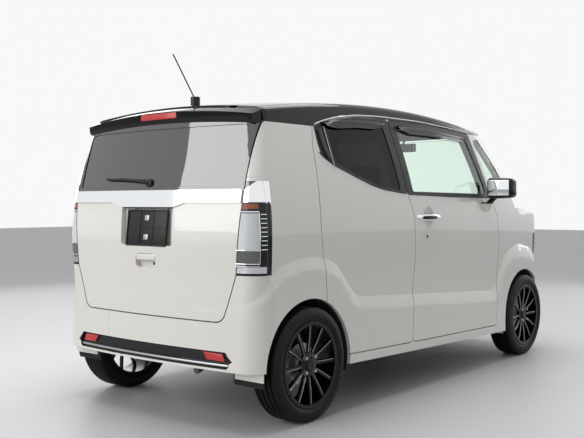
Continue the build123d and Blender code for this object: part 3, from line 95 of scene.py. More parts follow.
@dataclass(frozen=True)
class Finish:
    """One finish: colour, gloss and the fine pattern of its surface.

    Args:
        name: the material's name.
        colour: linear colour of the base.
        rough: roughness at its middle.
        metal: 1 for bare metal.
        coat: weight of the clear coat.
        clear: share of light that passes through.
        grain: the fine pattern.
        tint: how far the colour drifts lighter and darker over the piece.
        ior: refractive index.
        slot: the record's slot that the finish belongs to; not used.
    """

    name: str
    colour: Colour
    rough: float
    metal: float = 0.0
    coat: float = 0.0
    clear: float = 0.0
    grain: Grain = Grain.MOULDED
    tint: float = 0.06
    ior: float = 1.5
    slot: str = "underbody"

    def material(self) -> bpy.types.Material:
        """The finish's material, made on first use."""
        known = bpy.data.materials.get(self.name)
        if known:
            return known
        made = bpy.data.materials.new(self.name)
        made.use_nodes = True
        tree = made.node_tree
        shader = tree.nodes["Principled BSDF"]
        place = tree.nodes.new("ShaderNodeTexCoord")
        self._dress_shader(shader)
        self._add_colour(tree, shader, place)
        self._add_relief(tree, shader, place)
        return made

    def _dress_shader(self, shader: bpy.types.Node) -> None:
        """Set what is the same all over the surface."""
        shader.inputs["Metallic"].default_value = self.metal
        shader.inputs["IOR"].default_value = self.ior
        shader.inputs["Coat Weight"].default_value = self.coat
        shader.inputs["Coat Roughness"].default_value = 0.03
        shader.inputs["Transmission Weight"].default_value = self.clear

    def _add_colour(self, tree: bpy.types.NodeTree, shader: bpy.types.Node, place: bpy.types.Node) -> None:
        """Let the colour drift slowly over the piece."""
        drift = tree.nodes.new("ShaderNodeTexNoise")
        drift.inputs["Scale"].default_value = 7.0
        drift.inputs["Detail"].default_value = 3.0
        blend = tree.nodes.new("ShaderNodeMix")
        blend.data_type = "RGBA"
        low, high = (tuple(min(c * (1 + s * self.tint), 1.0) for c in self.colour) + (1.0,) for s in (-1, 1))
        blend.inputs["A"].default_value = low
        blend.inputs["B"].default_value = high
        tree.links.new(place.outputs["Object"], drift.inputs["Vector"])
        tree.links.new(drift.outputs["Fac"], blend.inputs["Factor"])
        tree.links.new(blend.outputs["Result"], shader.inputs["Base Color"])

    def _pattern(self, tree: bpy.types.NodeTree, place: bpy.types.Node) -> bpy.types.NodeSocket:
        """The fine pattern as a height between 0 and 1."""
        kind, scale, _, _ = self.grain.value
        if kind in ("noise", "brush"):
            node = tree.nodes.new("ShaderNodeTexNoise")
            node.inputs["Detail"].default_value = 2.0
            output = "Fac"
        elif kind == "voronoi":
            node = tree.nodes.new("ShaderNodeTexVoronoi")
            output = "Distance"
        else:
            node = tree.nodes.new("ShaderNodeTexWave")
            node.bands_direction = "DIAGONAL" if kind == "wave" else "Z"
            output = "Fac"
        node.inputs["Scale"].default_value = scale
        turn = tree.nodes.new("ShaderNodeMapping")
        turn.inputs["Scale"].default_value = (1.0, 1.0, 0.04) if kind == "brush" else (1.0, 1.0, 1.0)
        tree.links.new(place.outputs["Object"], turn.inputs["Vector"])
        tree.links.new(turn.outputs["Vector"], node.inputs["Vector"])
        return node.outputs[output]

    def _add_relief(self, tree: bpy.types.NodeTree, shader: bpy.types.Node, place: bpy.types.Node) -> None:
        """Let the pattern drive roughness and bump."""
        _, _, height, spread = self.grain.value
        pattern = self._pattern(tree, place)
        gloss = tree.nodes.new("ShaderNodeMapRange")
        gloss.inputs["To Min"].default_value = max(self.rough - spread, 0.01)
        gloss.inputs["To Max"].default_value = min(self.rough + spread, 1.0)
        bump = tree.nodes.new("ShaderNodeBump")
        bump.inputs["Distance"].default_value = height * MM
        bump.inputs["Strength"].default_value = 0.6
        tree.links.new(pattern, gloss.inputs["Value"])
        tree.links.new(gloss.outputs["Result"], shader.inputs["Roughness"])
        tree.links.new(pattern, bump.inputs["Height"])
        tree.links.new(bump.outputs["Normal"], shader.inputs["Normal"])


PEARL = Finish("pearl_white_paint", (0.81, 0.785, 0.725), 0.30, coat=1.0, grain=Grain.FLAKE, tint=0.012,
               slot="body_white")
GLOSS_BLACK = Finish("gloss_black_paint", (0.005, 0.005, 0.006), 0.06, grain=Grain.PEEL, ior=1.38,
                     slot="roof_black")
SATIN_BLACK = Finish("satin_black_trim", (0.009, 0.009, 0.010), 0.34, ior=1.35, grain=Grain.MOULDED,
                     slot="black_plastic")
MATT_BLACK = Finish("matt_black_liner", (0.010, 0.010, 0.010), 0.85, grain=Grain.CAST, slot="black_plastic")
SEAL = Finish("rubber_seal", (0.010, 0.010, 0.010), 0.65, grain=Grain.MOULDED, slot="black_plastic")
TYRE = Finish("tyre_rubber", (0.006, 0.006, 0.006), 0.55, grain=Grain.MOULDED, tint=0.25, ior=1.3,
              slot="tyre")
CHROME = Finish("bright_chrome", (0.86, 0.87, 0.88), 0.06, metal=1.0, grain=Grain.SHEER, tint=0.01,
                slot="chrome")
MACHINED = Finish("machined_alloy", (0.45, 0.45, 0.46), 0.28, metal=1.0, grain=Grain.BRUSHED,
                  slot="rim_black")
WHEEL_BLACK = Finish("black_wheel_lacquer", (0.004, 0.004, 0.005), 0.16, grain=Grain.PEEL, ior=1.35,
                     slot="rim_black")
STEEL = Finish("turned_steel", (0.42, 0.41, 0.40), 0.35, metal=1.0, grain=Grain.BRUSHED, tint=0.2,
               slot="cast_iron")
DARK_STEEL = Finish("chassis_black", (0.012, 0.012, 0.013), 0.55, grain=Grain.CAST, tint=0.3,
                    slot="underbody")
CAST_ALLOY = Finish("cast_alloy", (0.36, 0.36, 0.35), 0.5, metal=0.9, grain=Grain.CAST, tint=0.2,
                    slot="engine_metal")
PIPE = Finish("stainless_pipe", (0.14, 0.13, 0.12), 0.5, metal=1.0, grain=Grain.BRUSHED, tint=0.3,
              slot="exhaust_steel")
TAIL_GLASS = Finish("tail_privacy_glass", (0.030, 0.034, 0.036), 0.02, clear=0.6, grain=Grain.SHEER,
                    tint=0.02, ior=2.1, slot="dark_glass")
TAIL_BORDER = Finish("fired_glass_border", (0.016, 0.018, 0.020), 0.03, grain=Grain.SHEER, tint=0.02, ior=2.1,
                     slot="dark_glass")
SIDE_GLASS = Finish("side_privacy_glass", (0.012, 0.014, 0.014), 0.02, clear=0.85, grain=Grain.SHEER,
                    tint=0.02, ior=1.25, slot="dark_glass")
CLEAR = Finish("green_clear_glass", (0.90, 1.00, 0.93), 0.01, clear=1.0, grain=Grain.SHEER, tint=0.0,
               slot="clear_glass")
LENS = Finish("clear_lens", (0.93, 0.95, 0.95), 0.04, clear=0.85, grain=Grain.SHEER, tint=0.02,
              slot="clear_glass")
RIBBED_LENS = Finish("ribbed_lens", (0.80, 0.84, 0.84), 0.12, clear=0.15, grain=Grain.RIBBED, tint=0.04,
                     slot="clear_glass")
AMBER_RED = Finish("amber_red_lens", (0.42, 0.12, 0.06), 0.12, clear=0.2, grain=Grain.RIBBED, tint=0.2,
                   slot="red_lens")
SMOKED = Finish("smoked_lens", (0.012, 0.013, 0.015), 0.05, ior=1.4, grain=Grain.SHEER, slot="black_plastic")
RED_LENS = Finish("red_lens", (0.42, 0.006, 0.010), 0.10, grain=Grain.SHEER,
                  slot="red_lens")
SILVER = Finish("silver_plastic", (0.42, 0.43, 0.44), 0.3, metal=0.7, grain=Grain.MOULDED, slot="trim_grey")
MIRROR = Finish("mirror_glass", (0.90, 0.92, 0.93), 0.01, metal=1.0, grain=Grain.SHEER, tint=0.0,
                slot="chrome")
DASH = Finish("dash_plastic", (0.070, 0.070, 0.072), 0.6, grain=Grain.LEATHER, slot="trim_grey")
TRIM = Finish("cabin_trim", (0.045, 0.043, 0.042), 0.7, grain=Grain.LEATHER, slot="trim_grey")
HEADLINING = Finish("headlining", (0.22, 0.21, 0.20), 0.95, grain=Grain.WOVEN, slot="seat_fabric")
CARPET = Finish("carpet", (0.022, 0.021, 0.020), 1.0, grain=Grain.CAST, tint=0.25, slot="underbody")
FABRIC = Finish("seat_fabric", (0.060, 0.057, 0.055), 0.9, grain=Grain.WOVEN, tint=0.15, slot="seat_fabric")
GRIP = Finish("wheel_leather", (0.025, 0.024, 0.024), 0.5, grain=Grain.LEATHER, slot="black_plastic")


# ---- modelling helpers ---------------------------------------------------------------
def point(x: float, y: float, z: float) -> Vector:
    """A point given in millimetres."""
    return Vector((x, y, z)) * MM


def pick(obj: bpy.types.Object) -> bpy.types.Object:
    """Deselect all and make one object active."""
    bpy.ops.object.select_all(action="DESELECT")
    obj.select_set(True)
    bpy.context.view_layer.objects.active = obj
    return obj


def in_edit(obj: bpy.types.Object, work: Callable[[], None]) -> None:
    """Run some work in edit mode on the whole of an object."""
    pick(obj)
    bpy.ops.object.mode_set(mode="EDIT")
    bpy.ops.mesh.select_all(action="SELECT")
    work()
    bpy.ops.object.mode_set(mode="OBJECT")


def smooth(obj: bpy.types.Object, angle: float = 32.0) -> None:
    """Shade smooth where faces meet at less than the angle in degrees."""
    pick(obj)
    bpy.ops.object.shade_smooth_by_angle(angle=math.radians(angle))


def modify(obj: bpy.types.Object, kind: str, **settings: object) -> bpy.types.Object:
    """Add a modifier, set it and apply it.

    Args:
        obj: the mesh object.
        kind: the modifier's type.
        settings: its values.

    Returns:
        The same object.
    """
    pick(obj)
    made = obj.modifiers.new(kind.lower(), kind)
    for name, value in settings.items():
        setattr(made, name, value)
    bpy.ops.object.modifier_apply(modifier=made.name)
    return obj


def finish_piece(obj: bpy.types.Object, name: str, finish: Finish, body: str, angle: float = 32.0) -> bpy.types.Object:
    """Put a piece's place into its mesh, dress it and let it ride.

    Args:
        obj: the modelled object.
        name: its name.
        finish: its finish.
        body: the body it moves with.
        angle: the smoothing angle in degrees.

    Returns:
        The same object.
    """
    obj.name = name
    obj.data.name = name
    pick(obj)
    bpy.ops.object.transform_apply(location=True, rotation=True, scale=True)
    obj.data.materials.clear()
    obj.data.materials.append(finish.material())
    smooth(obj, angle)
    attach(obj, body)
    LOG.info("%s on %s", name, body)
    return obj


def rounded_block(low: Vector, high: Vector, radius: float, steps: int = 3) -> bpy.types.Object:
    """A block with rounded edges.

    Args:
        low: lowest corner in metres.
        high: highest corner in metres.
        radius: edge radius in millimetres.
        steps: segments across each round.

    Returns:
        The new object.
    """
    bpy.ops.object.select_all(action="DESELECT")
    bpy.ops.mesh.primitive_cube_add(size=1.0, location=(low + high) / 2)
    made = bpy.context.active_object
    made.scale = high - low
    bpy.ops.object.transform_apply(location=False, rotation=False, scale=True)
    return modify(made, "BEVEL", width=radius * MM, segments=steps, limit_method="NONE")


def turned(profile: Rows, centre: Vector, side: int = 1, steps: int = 64) -> bpy.types.Object:
    """A ring or disc turned about the Y axis.

    Args:
        profile: rows of distance outboard and radius in millimetres.
        centre: centre of the turning axis in metres.
        side: 1 for outboard to the left, -1 for outboard to the right.
        steps: vertices round the ring.

    Returns:
        The new object, closed where the profile starts or ends at radius 0.
    """
    bpy.ops.object.select_all(action="DESELECT")
    along, radius = profile[0]
    start = max(radius, 0.5)
    bpy.ops.mesh.primitive_circle_add(vertices=steps, radius=start * MM, location=centre,
                                      rotation=(math.radians(90), 0, 0))
    made = bpy.context.active_object
    bpy.ops.object.transform_apply(location=True, rotation=True, scale=True)
    bpy.ops.object.mode_set(mode="EDIT")
    bpy.ops.mesh.select_all(action="SELECT")
    bpy.ops.transform.translate(value=(0, side * along * MM, 0))
    before = start
    for (last_along, _), (next_along, next_radius) in zip(profile, profile[1:]):
        radius = max(next_radius, 0.5)
        bpy.ops.mesh.extrude_edges_move(TRANSFORM_OT_translate={
            "value": (0, side * (next_along - last_along) * MM, 0)})
        ratio = radius / before
        bpy.ops.transform.resize(value=(ratio, 1, ratio), center_override=centre)
        before = radius
    bpy.ops.mesh.select_all(action="SELECT")
    bpy.ops.mesh.remove_doubles(threshold=2e-6)
    bpy.ops.mesh.normals_make_consistent(inside=False)
    bpy.ops.object.mode_set(mode="OBJECT")
    return made


def bead(points: Iterable[Vector], radius: float, flat: float = 1.0, closed: bool = False) -> bpy.types.Object:
    """A slim round or flattened bar through points.

    Args:
        points: points in metres.
        radius: radius in millimetres.
        flat: thickness across the body's side, as a share of the height; not used.
        closed: whether the last point joins the first.

    Returns:
        The bar as a mesh object.
    """
    rows = list(points)
    bpy.ops.object.select_all(action="DESELECT")
    bpy.ops.curve.primitive_nurbs_path_add()
    made = bpy.context.active_object
    curve = made.data
    curve.splines.clear()
    spline = curve.splines.new("NURBS")
    spline.points.add(len(rows) - 1)
    for place, row in zip(spline.points, rows):
        place.co = (*row, 1.0)
    spline.order_u = 3
    spline.use_endpoint_u = not closed
    spline.use_cyclic_u = closed
    curve.dimensions = "3D"
    curve.bevel_depth = radius * MM
    curve.bevel_resolution = 2
    curve.use_fill_caps = True
    curve.resolution_u = 6
    made.location = (0, 0, 0)
    pick(made)
    bpy.ops.object.convert(target="MESH")
    return bpy.context.active_object


def prism(rows: Rows, near: float, far: float) -> bpy.types.Object:
    """A block cut through along Y from an outline in side view.

    Args:
        rows: corners as x and z in millimetres.
        near: y of its inner face in millimetres.
        far: y of its outer face.

    Returns:
        The new object.
    """
    bpy.ops.object.select_all(action="DESELECT")
    bpy.ops.mesh.primitive_circle_add(vertices=len(rows), radius=1.0, fill_type="NGON")
    made = bpy.context.active_object
    for vertex, (x, z) in zip(made.data.vertices, rows):
        vertex.co = point(x, near, z)
    in_edit(made, lambda: (
        bpy.ops.mesh.extrude_region_move(TRANSFORM_OT_translate={"value": (0, (far - near) * MM, 0)}),
        bpy.ops.mesh.select_all(action="SELECT"),
        bpy.ops.mesh.normals_make_consistent(inside=False)))
    return made


def drop(*objects: bpy.types.Object) -> None:
    """Remove helper objects."""
    for obj in objects:
        bpy.data.objects.remove(obj)


def parted(obj: bpy.types.Object, tool: bpy.types.Object) -> bpy.types.Object:
    """Cut a tool's volume out of a piece and return it as a new one."""
    inside = obj.copy()
    inside.data = obj.data.copy()
    bpy.context.scene.collection.objects.link(inside)
    modify(inside, "BOOLEAN", operation="INTERSECT", object=tool, solver="EXACT")
    modify(obj, "BOOLEAN", operation="DIFFERENCE", object=tool, solver="EXACT")
    return inside


def score(obj: bpy.types.Object, place: Vector, normal: Vector) -> None:
    """Cut an edge line into a mesh along a plane."""
    in_edit(obj, lambda: bpy.ops.mesh.bisect(plane_co=place, plane_no=normal, use_fill=False))


def mirrored_rows(rows: Rows) -> list[tuple[float, float]]:
    """Rows of y and z with their twins on the other side."""
    return list(rows) + [(-y, z) for y, z in reversed(list(rows))]


# ---- the frame and its surface --------------------------------------------------------
class Carrier:
    """Finds points on the frame's outer surface, and carries its nodes over as dressed pieces."""

    SKIN = ("side_frames", "roof_panel", "front_wings", "front_bumper", "rear_bumper", "windscreen",
            "quarter_windows", "cowl_panel", "grille", "head_lamps", "tail_lamps", "lamp_caps",
            "sill_garnishes", "tailgate", "tailgate_glass", "tailgate_garnish", "spoiler", "bonnet",
            "door_front_left", "door_front_right", "door_rear_left", "door_rear_right",
            "door_glass_front_left", "door_glass_front_right", "door_glass_rear_left",
            "door_glass_rear_right")

    def __init__(self, frame: dict) -> None:
        """Keep the frame and build the search tree of its outer nodes."""
        self.frame = frame
        corners: list[Vector] = []
        faces: list[tuple[int, ...]] = []
        for node in self.SKIN:
            mesh = frame["nodes"][node].data
            base = len(corners)
            corners.extend(vertex.co.copy() for vertex in mesh.vertices)
            faces.extend(tuple(base + i for i in face.vertices) for face in mesh.polygons)
        self.tree = BVHTree.FromPolygons(corners, faces)

    def hit(self, start: Vector, direction: Vector) -> tuple[Vector, Vector]:
        """First point of the surface along a line, and the normal there."""
        place, normal, _, _ = self.tree.ray_cast(start, direction)
        if place is None:
            raise ValueError(f"no surface beyond {start}")
        return place, normal if normal.dot(direction) < 0 else -normal

    def side(self, x: float, z: float, side: int, out: float = 0.0) -> Vector:
        """A point on the body's side, or a little outside it, from x and z in millimetres."""
        place, normal = self.hit(point(x, 1500 * side, z), Vector((0, -side, 0)))
        return place + normal * out * MM

    def tail(self, y: float, z: float, out: float = 0.0) -> Vector:
        """A point on the tail from y and z in millimetres."""
        place, normal = self.hit(point(-2500, y, z), Vector((1, 0, 0)))
        return place + normal * out * MM

    def nose(self, y: float, z: float, out: float = 0.0) -> Vector:
        """A point on the nose from y and z in millimetres, lower where a shut line lets the ray through."""
        for lower in range(0, 21, 2):
            place, normal = self.hit(point(2500, y, z - lower), Vector((-1, 0, 0)))
            if place.x > 0:
                break
        return place + normal * out * MM

    def body(self, node: str) -> str:
        """The body that a node rides on."""
        return self.frame["nodes"][node]["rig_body"]

    def carry(self, node: str, finish: Finish, angle: float = 28.0) -> bpy.types.Object:
        """A merged, smoothly shaded copy of a node that stands for it.

        Args:
            node: the frame's node.
            finish: the copy's finish.
            angle: the smoothing angle in degrees.

        Returns:
            The dressed copy.
        """
        source = self.frame["nodes"][node]
        made = bpy.data.objects.new("copy", source.data.copy())
        bpy.context.scene.collection.objects.link(made)
        pick(made)
        if made.data.has_custom_normals:
            bpy.ops.mesh.customdata_custom_splitnormals_clear()
        in_edit(made, lambda: bpy.ops.mesh.remove_doubles(threshold=1e-5))
        finish_piece(made, node + "_finished", finish, self.body(node), angle)
        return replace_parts(made, node)

    def repaint(self, obj: bpy.types.Object, finish: Finish, wanted: Callable[[Vector, Vector], bool]) -> None:
        """Give another finish to the faces whose centre and normal pass a test."""
        slot = len(obj.data.materials)
        obj.data.materials.append(finish.material())
        for face in obj.data.polygons:
            if wanted(face.center / MM, face.normal):
                face.material_index = slot


# ---- studio -------------------------------------------------------------------------------
@dataclass
class Studio:
    """Camera, soft lights, pale floor and backdrop."""

    place: tuple[float, float, float] = (-4608.85, -3304.87, 1082.81)
    yaw: float = 39.786
    dip: float = 1.141
    lens: float = 52.97
    shift: tuple[float, float] = (0.02503, 0.00276)

    def build(self) -> None:
        """Set up the whole studio."""
        self._camera()
        self._floor()
        self._world()
        self._lamps()
        bpy.context.scene.view_settings.view_transform = "Standard"

    def _camera(self) -> None:
        """The camera at its height and angle."""
        data = bpy.data.cameras.new("camera")
        data.lens, data.sensor_width = self.lens, 36.0
        data.shift_x, data.shift_y = self.shift
        data.clip_end = 200.0
        camera = bpy.data.objects.new("camera", data)
        camera.location = point(*self.place)
        camera.rotation_euler = (math.radians(90 - self.dip), 0, math.radians(self.yaw - 90))
        bpy.context.scene.collection.objects.link(camera)
        bpy.context.scene.camera = camera

    def _floor(self) -> None:
        """A wide pale floor."""
        bpy.ops.object.select_all(action="DESELECT")
        bpy.ops.mesh.primitive_plane_add(size=60.0, location=(0, 0, 0))
        floor = bpy.context.active_object
        floor.name = "floor"
        pale = Finish("pale_floor", (0.56, 0.56, 0.56), 0.5, grain=Grain.SHEER, tint=0.02)
        floor.data.materials.append(pale.material())

    def _world(self) -> None:
        """Soft grey light with a near-white view."""
        world = bpy.data.worlds.new("studio")
        bpy.context.scene.world = world
        world.use_nodes = True
        tree = world.node_tree
        light = tree.nodes["Background"]
        light.inputs["Color"].default_value = (0.92, 0.95, 1.0, 1.0)
        light.inputs["Strength"].default_value = 0.42
        view = tree.nodes.new("ShaderNodeBackground")
        view.inputs["Color"].default_value = (0.93, 0.94, 0.95, 1.0)
        path = tree.nodes.new("ShaderNodeLightPath")
        seen = tree.nodes.new("ShaderNodeMath")
        seen.operation = "MAXIMUM"
        either = tree.nodes.new("ShaderNodeMath")
        either.operation = "MAXIMUM"
        mix = tree.nodes.new("ShaderNodeMixShader")
        tree.links.new(path.outputs["Is Camera Ray"], seen.inputs[0])
        tree.links.new(path.outputs["Is Transmission Ray"], seen.inputs[1])
        tree.links.new(seen.outputs[0], either.inputs[0])
        tree.links.new(path.outputs["Is Glossy Ray"], either.inputs[1])
        tree.links.new(either.outputs[0], mix.inputs["Fac"])
        tree.links.new(light.outputs[0], mix.inputs[1])
        tree.links.new(view.outputs[0], mix.inputs[2])
        tree.links.new(mix.outputs[0], tree.nodes["World Output"].inputs["Surface"])

    def _lamps(self) -> None:
        """Soft boxes above, behind and in front."""
        rows = (
            ("overhead_box", (0.0, 0.0, 4.6), (5.5, 3.0), 150.0),
            ("tail_box", (-6.0, 1.5, 2.6), (4.0, 3.0), 120.0),
            ("left_box", (1.0, 6.0, 2.8), (5.0, 3.0), 80.0),
            ("nose_box", (6.5, -1.0, 2.6), (3.5, 3.0), 60.0),
        )
        for name, place, size, power in rows:
            data = bpy.data.lights.new(name, "AREA")
            data.shape, data.size, data.size_y, data.energy = "RECTANGLE", *size, power
            lamp = bpy.data.objects.new(name, data)
            lamp.location = place
            lamp.rotation_euler = (Vector((0, 0, 0.8)) - Vector(place)).to_track_quat("-Z", "Y").to_euler()
            bpy.context.scene.collection.objects.link(lamp)


# ---- panels ---------------------------------------------------------------------------------
@dataclass
class PaintedShell:
    """Body panels in pearl white, the black upper body and the lower trim."""

    car: Carrier
    front_sash: Rows = ((-620, 1620), (-620, 1139), (-195, 1137), (203, 1128), (760, 1126), (760, 1620))
    rear_sash: Rows = ((-1128, 1620), (-1128, 1465), (-1121, 1383), (-1103, 1329), (-1005, 1281),
                       (-920, 1256), (-797, 1217), (-677, 1183), (-571, 1163), (-371, 1145),
                       (-250, 1140), (-250, 1620))
    lamp_end: float = -1535.0

    def build(self) -> None:
        """Carry every outer panel over."""
        for node in ("tailgate", "bonnet", "front_wings", "cowl_panel", "mudguards", "sill_garnishes",
                     "side_frames", "rear_bumper", "front_bumper"):
            self.car.carry(node, PEARL)
        self.car.carry("roof_panel", GLOSS_BLACK)
        self.car.carry("spoiler", GLOSS_BLACK)
        self._doors()
        self._dark_places()

    def _doors(self) -> None:
        """Doors with their black window frames as pieces of their own."""
        for place, rows in (("front", self.front_sash), ("rear", self.rear_sash)):
            for name, side in (("left", 1), ("right", -1)):
                node = f"door_{place}_{name}"
                door = self.car.carry(node, PEARL)
                tool = prism(rows, 300 * side, 900 * side)
                sash = parted(door, tool)
                drop(tool)
                finish_piece(sash, f"window_frame_{place}_{name}", SATIN_BLACK, self.car.body(node))
                smooth(door, 28)

    def _dark_places(self) -> None:
        """Black recesses and liners, and painted shade: the inner faces that shut lines look into are darkened instead
        of body-coloured.
        """
        # Inward faces take dark trim or matt black; on door jambs and shut-line faces this dark is painted shade, as
        # the real panels there are body-coloured.
        for name in ("side_frames_finished", "roof_panel_finished"):
            self.car.repaint(bpy.data.objects[name], TRIM, self._inside)
        for name in ("tailgate_finished", "bonnet_finished", "front_bumper_finished", "rear_bumper_finished"):
            self.car.repaint(bpy.data.objects[name], MATT_BLACK, self._inside)
        self.car.repaint(bpy.data.objects["rear_bumper_finished"], SATIN_BLACK, lambda c, n: (
            abs(c.y) < 560.5 and 299 < c.z < 381 and c.x < -1560 and n.x < 0.3))
        self._glass_border()
        self._lamp_ends()

    def _glass_border(self) -> None:
        """Dark border of the rear window, out to the tailgate's edges."""
        gate = bpy.data.objects["tailgate_finished"]
        score(gate, point(0, 0, 1150), Vector((0, 0, 1)))
        self.car.repaint(gate, TAIL_BORDER, lambda c, n: c.z > 1150 and n.x < -0.2)
        self.car.repaint(gate, SATIN_BLACK, lambda c, n: c.z > 1150 and n.x >= -0.2)

    def _lamp_ends(self) -> None:
        """Dark side part of the tail lamps where it reaches into the quarter panels."""
        frames = bpy.data.objects["side_frames_finished"]
        for place, normal in ((point(self.lamp_end, 0, 0), Vector((1, 0, 0))),
                              (point(0, 0, 746), Vector((0, 0, 1))), (point(0, 0, 1188), Vector((0, 0, 1)))):
            score(frames, place, normal)
        side = lambda c, n: c.x < self.lamp_end and n.x < 0.3 and abs(n.y) > 0.5
        self.car.repaint(frames, SMOKED, lambda c, n: side(c, n) and 746 < c.z < 1088)
        self.car.repaint(frames, CHROME, lambda c, n: side(c, n) and 1088 < c.z < 1188)

    @staticmethod
    def _inside(centre: Vector, normal: Vector) -> bool:
        """Whether a face looks into the cabin or down into the shell."""
        inward = -normal.y if centre.y > 0 else normal.y
        if abs(centre.y) < 300:
            inward = -normal.z if centre.z > 1500 else 0.0
        return inward > 0.35


# ---- glass ------------------------------------------------------------------------------------
@dataclass
class Glazing:
    """Windows and the outside mouldings along them."""

    car: Carrier
    drip: Rows = ((-1128, 1472), (-1112, 1484), (-1030, 1508), (-918, 1533), (-739, 1556), (-502, 1567),
                  (-97, 1569), (273, 1556), (543, 1541))
    belt_front: Rows = ((-320, 1136), (-195, 1134), (203, 1125), (661, 1123), (722, 1122))
    belt_rear: Rows = ((-1118, 1345), (-1103, 1326), (-1005, 1278), (-920, 1253), (-797, 1214), (-677, 1180),
                       (-571, 1160), (-371, 1142), (-345, 1141))

    def build(self) -> None:
        """Dress the windows and lay the mouldings."""
        self.car.carry("tailgate_glass", TAIL_GLASS)
        for node in ("door_glass_rear_left", "door_glass_rear_right"):
            self.car.carry(node, SIDE_GLASS)
        for node in ("windscreen", "quarter_windows", "door_glass_front_left", "door_glass_front_right"):
            self.car.carry(node, CLEAR)
        for name, side in (("left", 1), ("right", -1)):
            self._mouldings(name, side)

    def _laid(self, rows: Rows, side: int, out: float) -> list[Vector]:
        """Points along rows, close together, laid on the body's side."""
        laid = []
        for (x0, z0), (x1, z1) in zip(rows, rows[1:]):
            count = max(int(math.hypot(x1 - x0, z1 - z0) / 60), 1)
            laid += [self.car.side(x0 + (x1 - x0) * i / count, z0 + (z1 - z0) * i / count, side, out)
                     for i in range(count)]
        return laid + [self.car.side(*rows[-1], side, out)]

    def _mouldings(self, name: str, side: int) -> None:
        """Bright drip line on the roof and dark belt mouldings on the doors."""
        strip = bead(self._laid([(x, z + 6) for x, z in self.drip], side, 0.5), 4.5)
        finish_piece(strip, f"drip_line_{name}", CHROME, "body")
        for place, rows in (("front", self.belt_front), ("rear", self.belt_rear)):
            strip = bead(self._laid(rows, side, 0.2), 4.0)
            finish_piece(strip, f"belt_moulding_{place}_{name}", SEAL, f"{place}_door_{name}")


# ---- wheels ---------------------------------------------------------------------------------------
@dataclass
class RoadWheel:
    """One tyre with grooves and wall rings, and a black spoked rim with machined edges."""

    car: Carrier
    place: str
    name: str
    tread: Rows = ((-82.5, 247), (-81, 258), (-77.5, 268), (-74, 275), (-70, 281), (-62, 284.6),
                   (-50, 284.9), (-49, 277), (-41, 277), (-40, 284.9), (-20, 284.9), (-19, 277), (-11, 277),
                   (-10, 284.9), (10, 284.9), (11, 277), (19, 277), (20, 284.9), (40, 284.9), (41, 277),
                   (49, 277), (50, 284.9), (62, 284.6), (70, 281), (74, 275), (77.5, 268), (81, 258),
                   (82.5, 247), (82.2, 240), (80.2, 239.5), (80.2, 237.5), (81.4, 237), (79.5, 228),
                   (76.5, 224), (73, 217.4), (69.7, 217), (69.7, 203.6), (-69.7, 203.6), (-69.7, 217),
                   (-73, 217.4), (-79.5, 228), (-82.5, 247))
    nut_circle: float = 50.0
    spokes: int = 12

    @property
    def side(self) -> int:
        """1 on the left and -1 on the right."""
        return 1 if self.name == "left" else -1

    @property
    def centre(self) -> Vector:
        """Middle of the wheel."""
        low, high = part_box(f"tyre_{self.place}_{self.name}")
        return (low + high) / 2

    def at(self, along: float, radius: float, turn: float) -> Vector:
        """A point of the wheel from its distance outboard, radius and angle in degrees."""
        angle = math.radians(turn)
        return self.centre + point(radius * math.cos(angle), self.side * along, radius * math.sin(angle))

    def build(self) -> None:
        """Make the tyre, the rim and its fittings."""
        body = f"wheel_{self.place}_{self.name}"
        tyre = turned(self.tread, self.centre, self.side, 120)
        finish_piece(tyre, f"tyre_{self.place}_{self.name}_finished", TYRE, body, 40)
        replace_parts(tyre, f"tyre_{self.place}_{self.name}")
        rim = self.car.carry(f"rim_{self.place}_{self.name}", WHEEL_BLACK, 30)
        centre = self.centre / MM
        self.car.repaint(rim, STEEL, lambda c, n: (
            (c.y - centre.y) * self.side < 30 and math.hypot(c.x - centre.x, c.z - centre.z) < 135))
        self._edges(body)
        self._fittings(body)

    def _edges(self, body: str) -> None:
        """A slim machined edge along each spoke, and a black lacquered ring round the lip."""
        for i in range(self.spokes):
            turn = 90 + 360 / self.spokes * i
            rows = [self.at(58.5, 64, turn + 6.0), self.at(62, 95, turn + 4.0), self.at(68.5, 140, turn + 2.6),
                    self.at(70.5, 198, turn + 1.7)]
            edge = bead(rows, 1.3)
            finish_piece(edge, f"spoke_edge_{self.place}_{self.name}_{i}", MACHINED, body)
        lip = turned(((75.4, 206), (76.6, 208), (76.9, 212), (76.0, 215)), self.centre, self.side, 96)
        finish_piece(lip, f"rim_lip_{self.place}_{self.name}", WHEEL_BLACK, body)

    def _fittings(self, body: str) -> None:
        """Centre cap, four nuts and the valve."""
        cap = turned(((66, 27), (70, 27), (72, 24), (71, 20), (71.5, 0)), self.centre, self.side, 48)
        finish_piece(cap, f"centre_cap_{self.place}_{self.name}", SATIN_BLACK, body)
        for i in range(4):
            hub = self.at(0, self.nut_circle, 45 + 90 * i)
            nut = turned(((56, 11), (60, 11), (60.5, 9.5), (74, 9), (76, 7), (76.5, 0)), hub, self.side, 6)
            finish_piece(nut, f"wheel_nut_{self.place}_{self.name}_{i}", MACHINED, body, 25)
        valve = bead([self.at(60, 196, 75), self.at(80, 186, 75)], 3.5)
        finish_piece(valve, f"valve_{self.place}_{self.name}", SEAL, body)


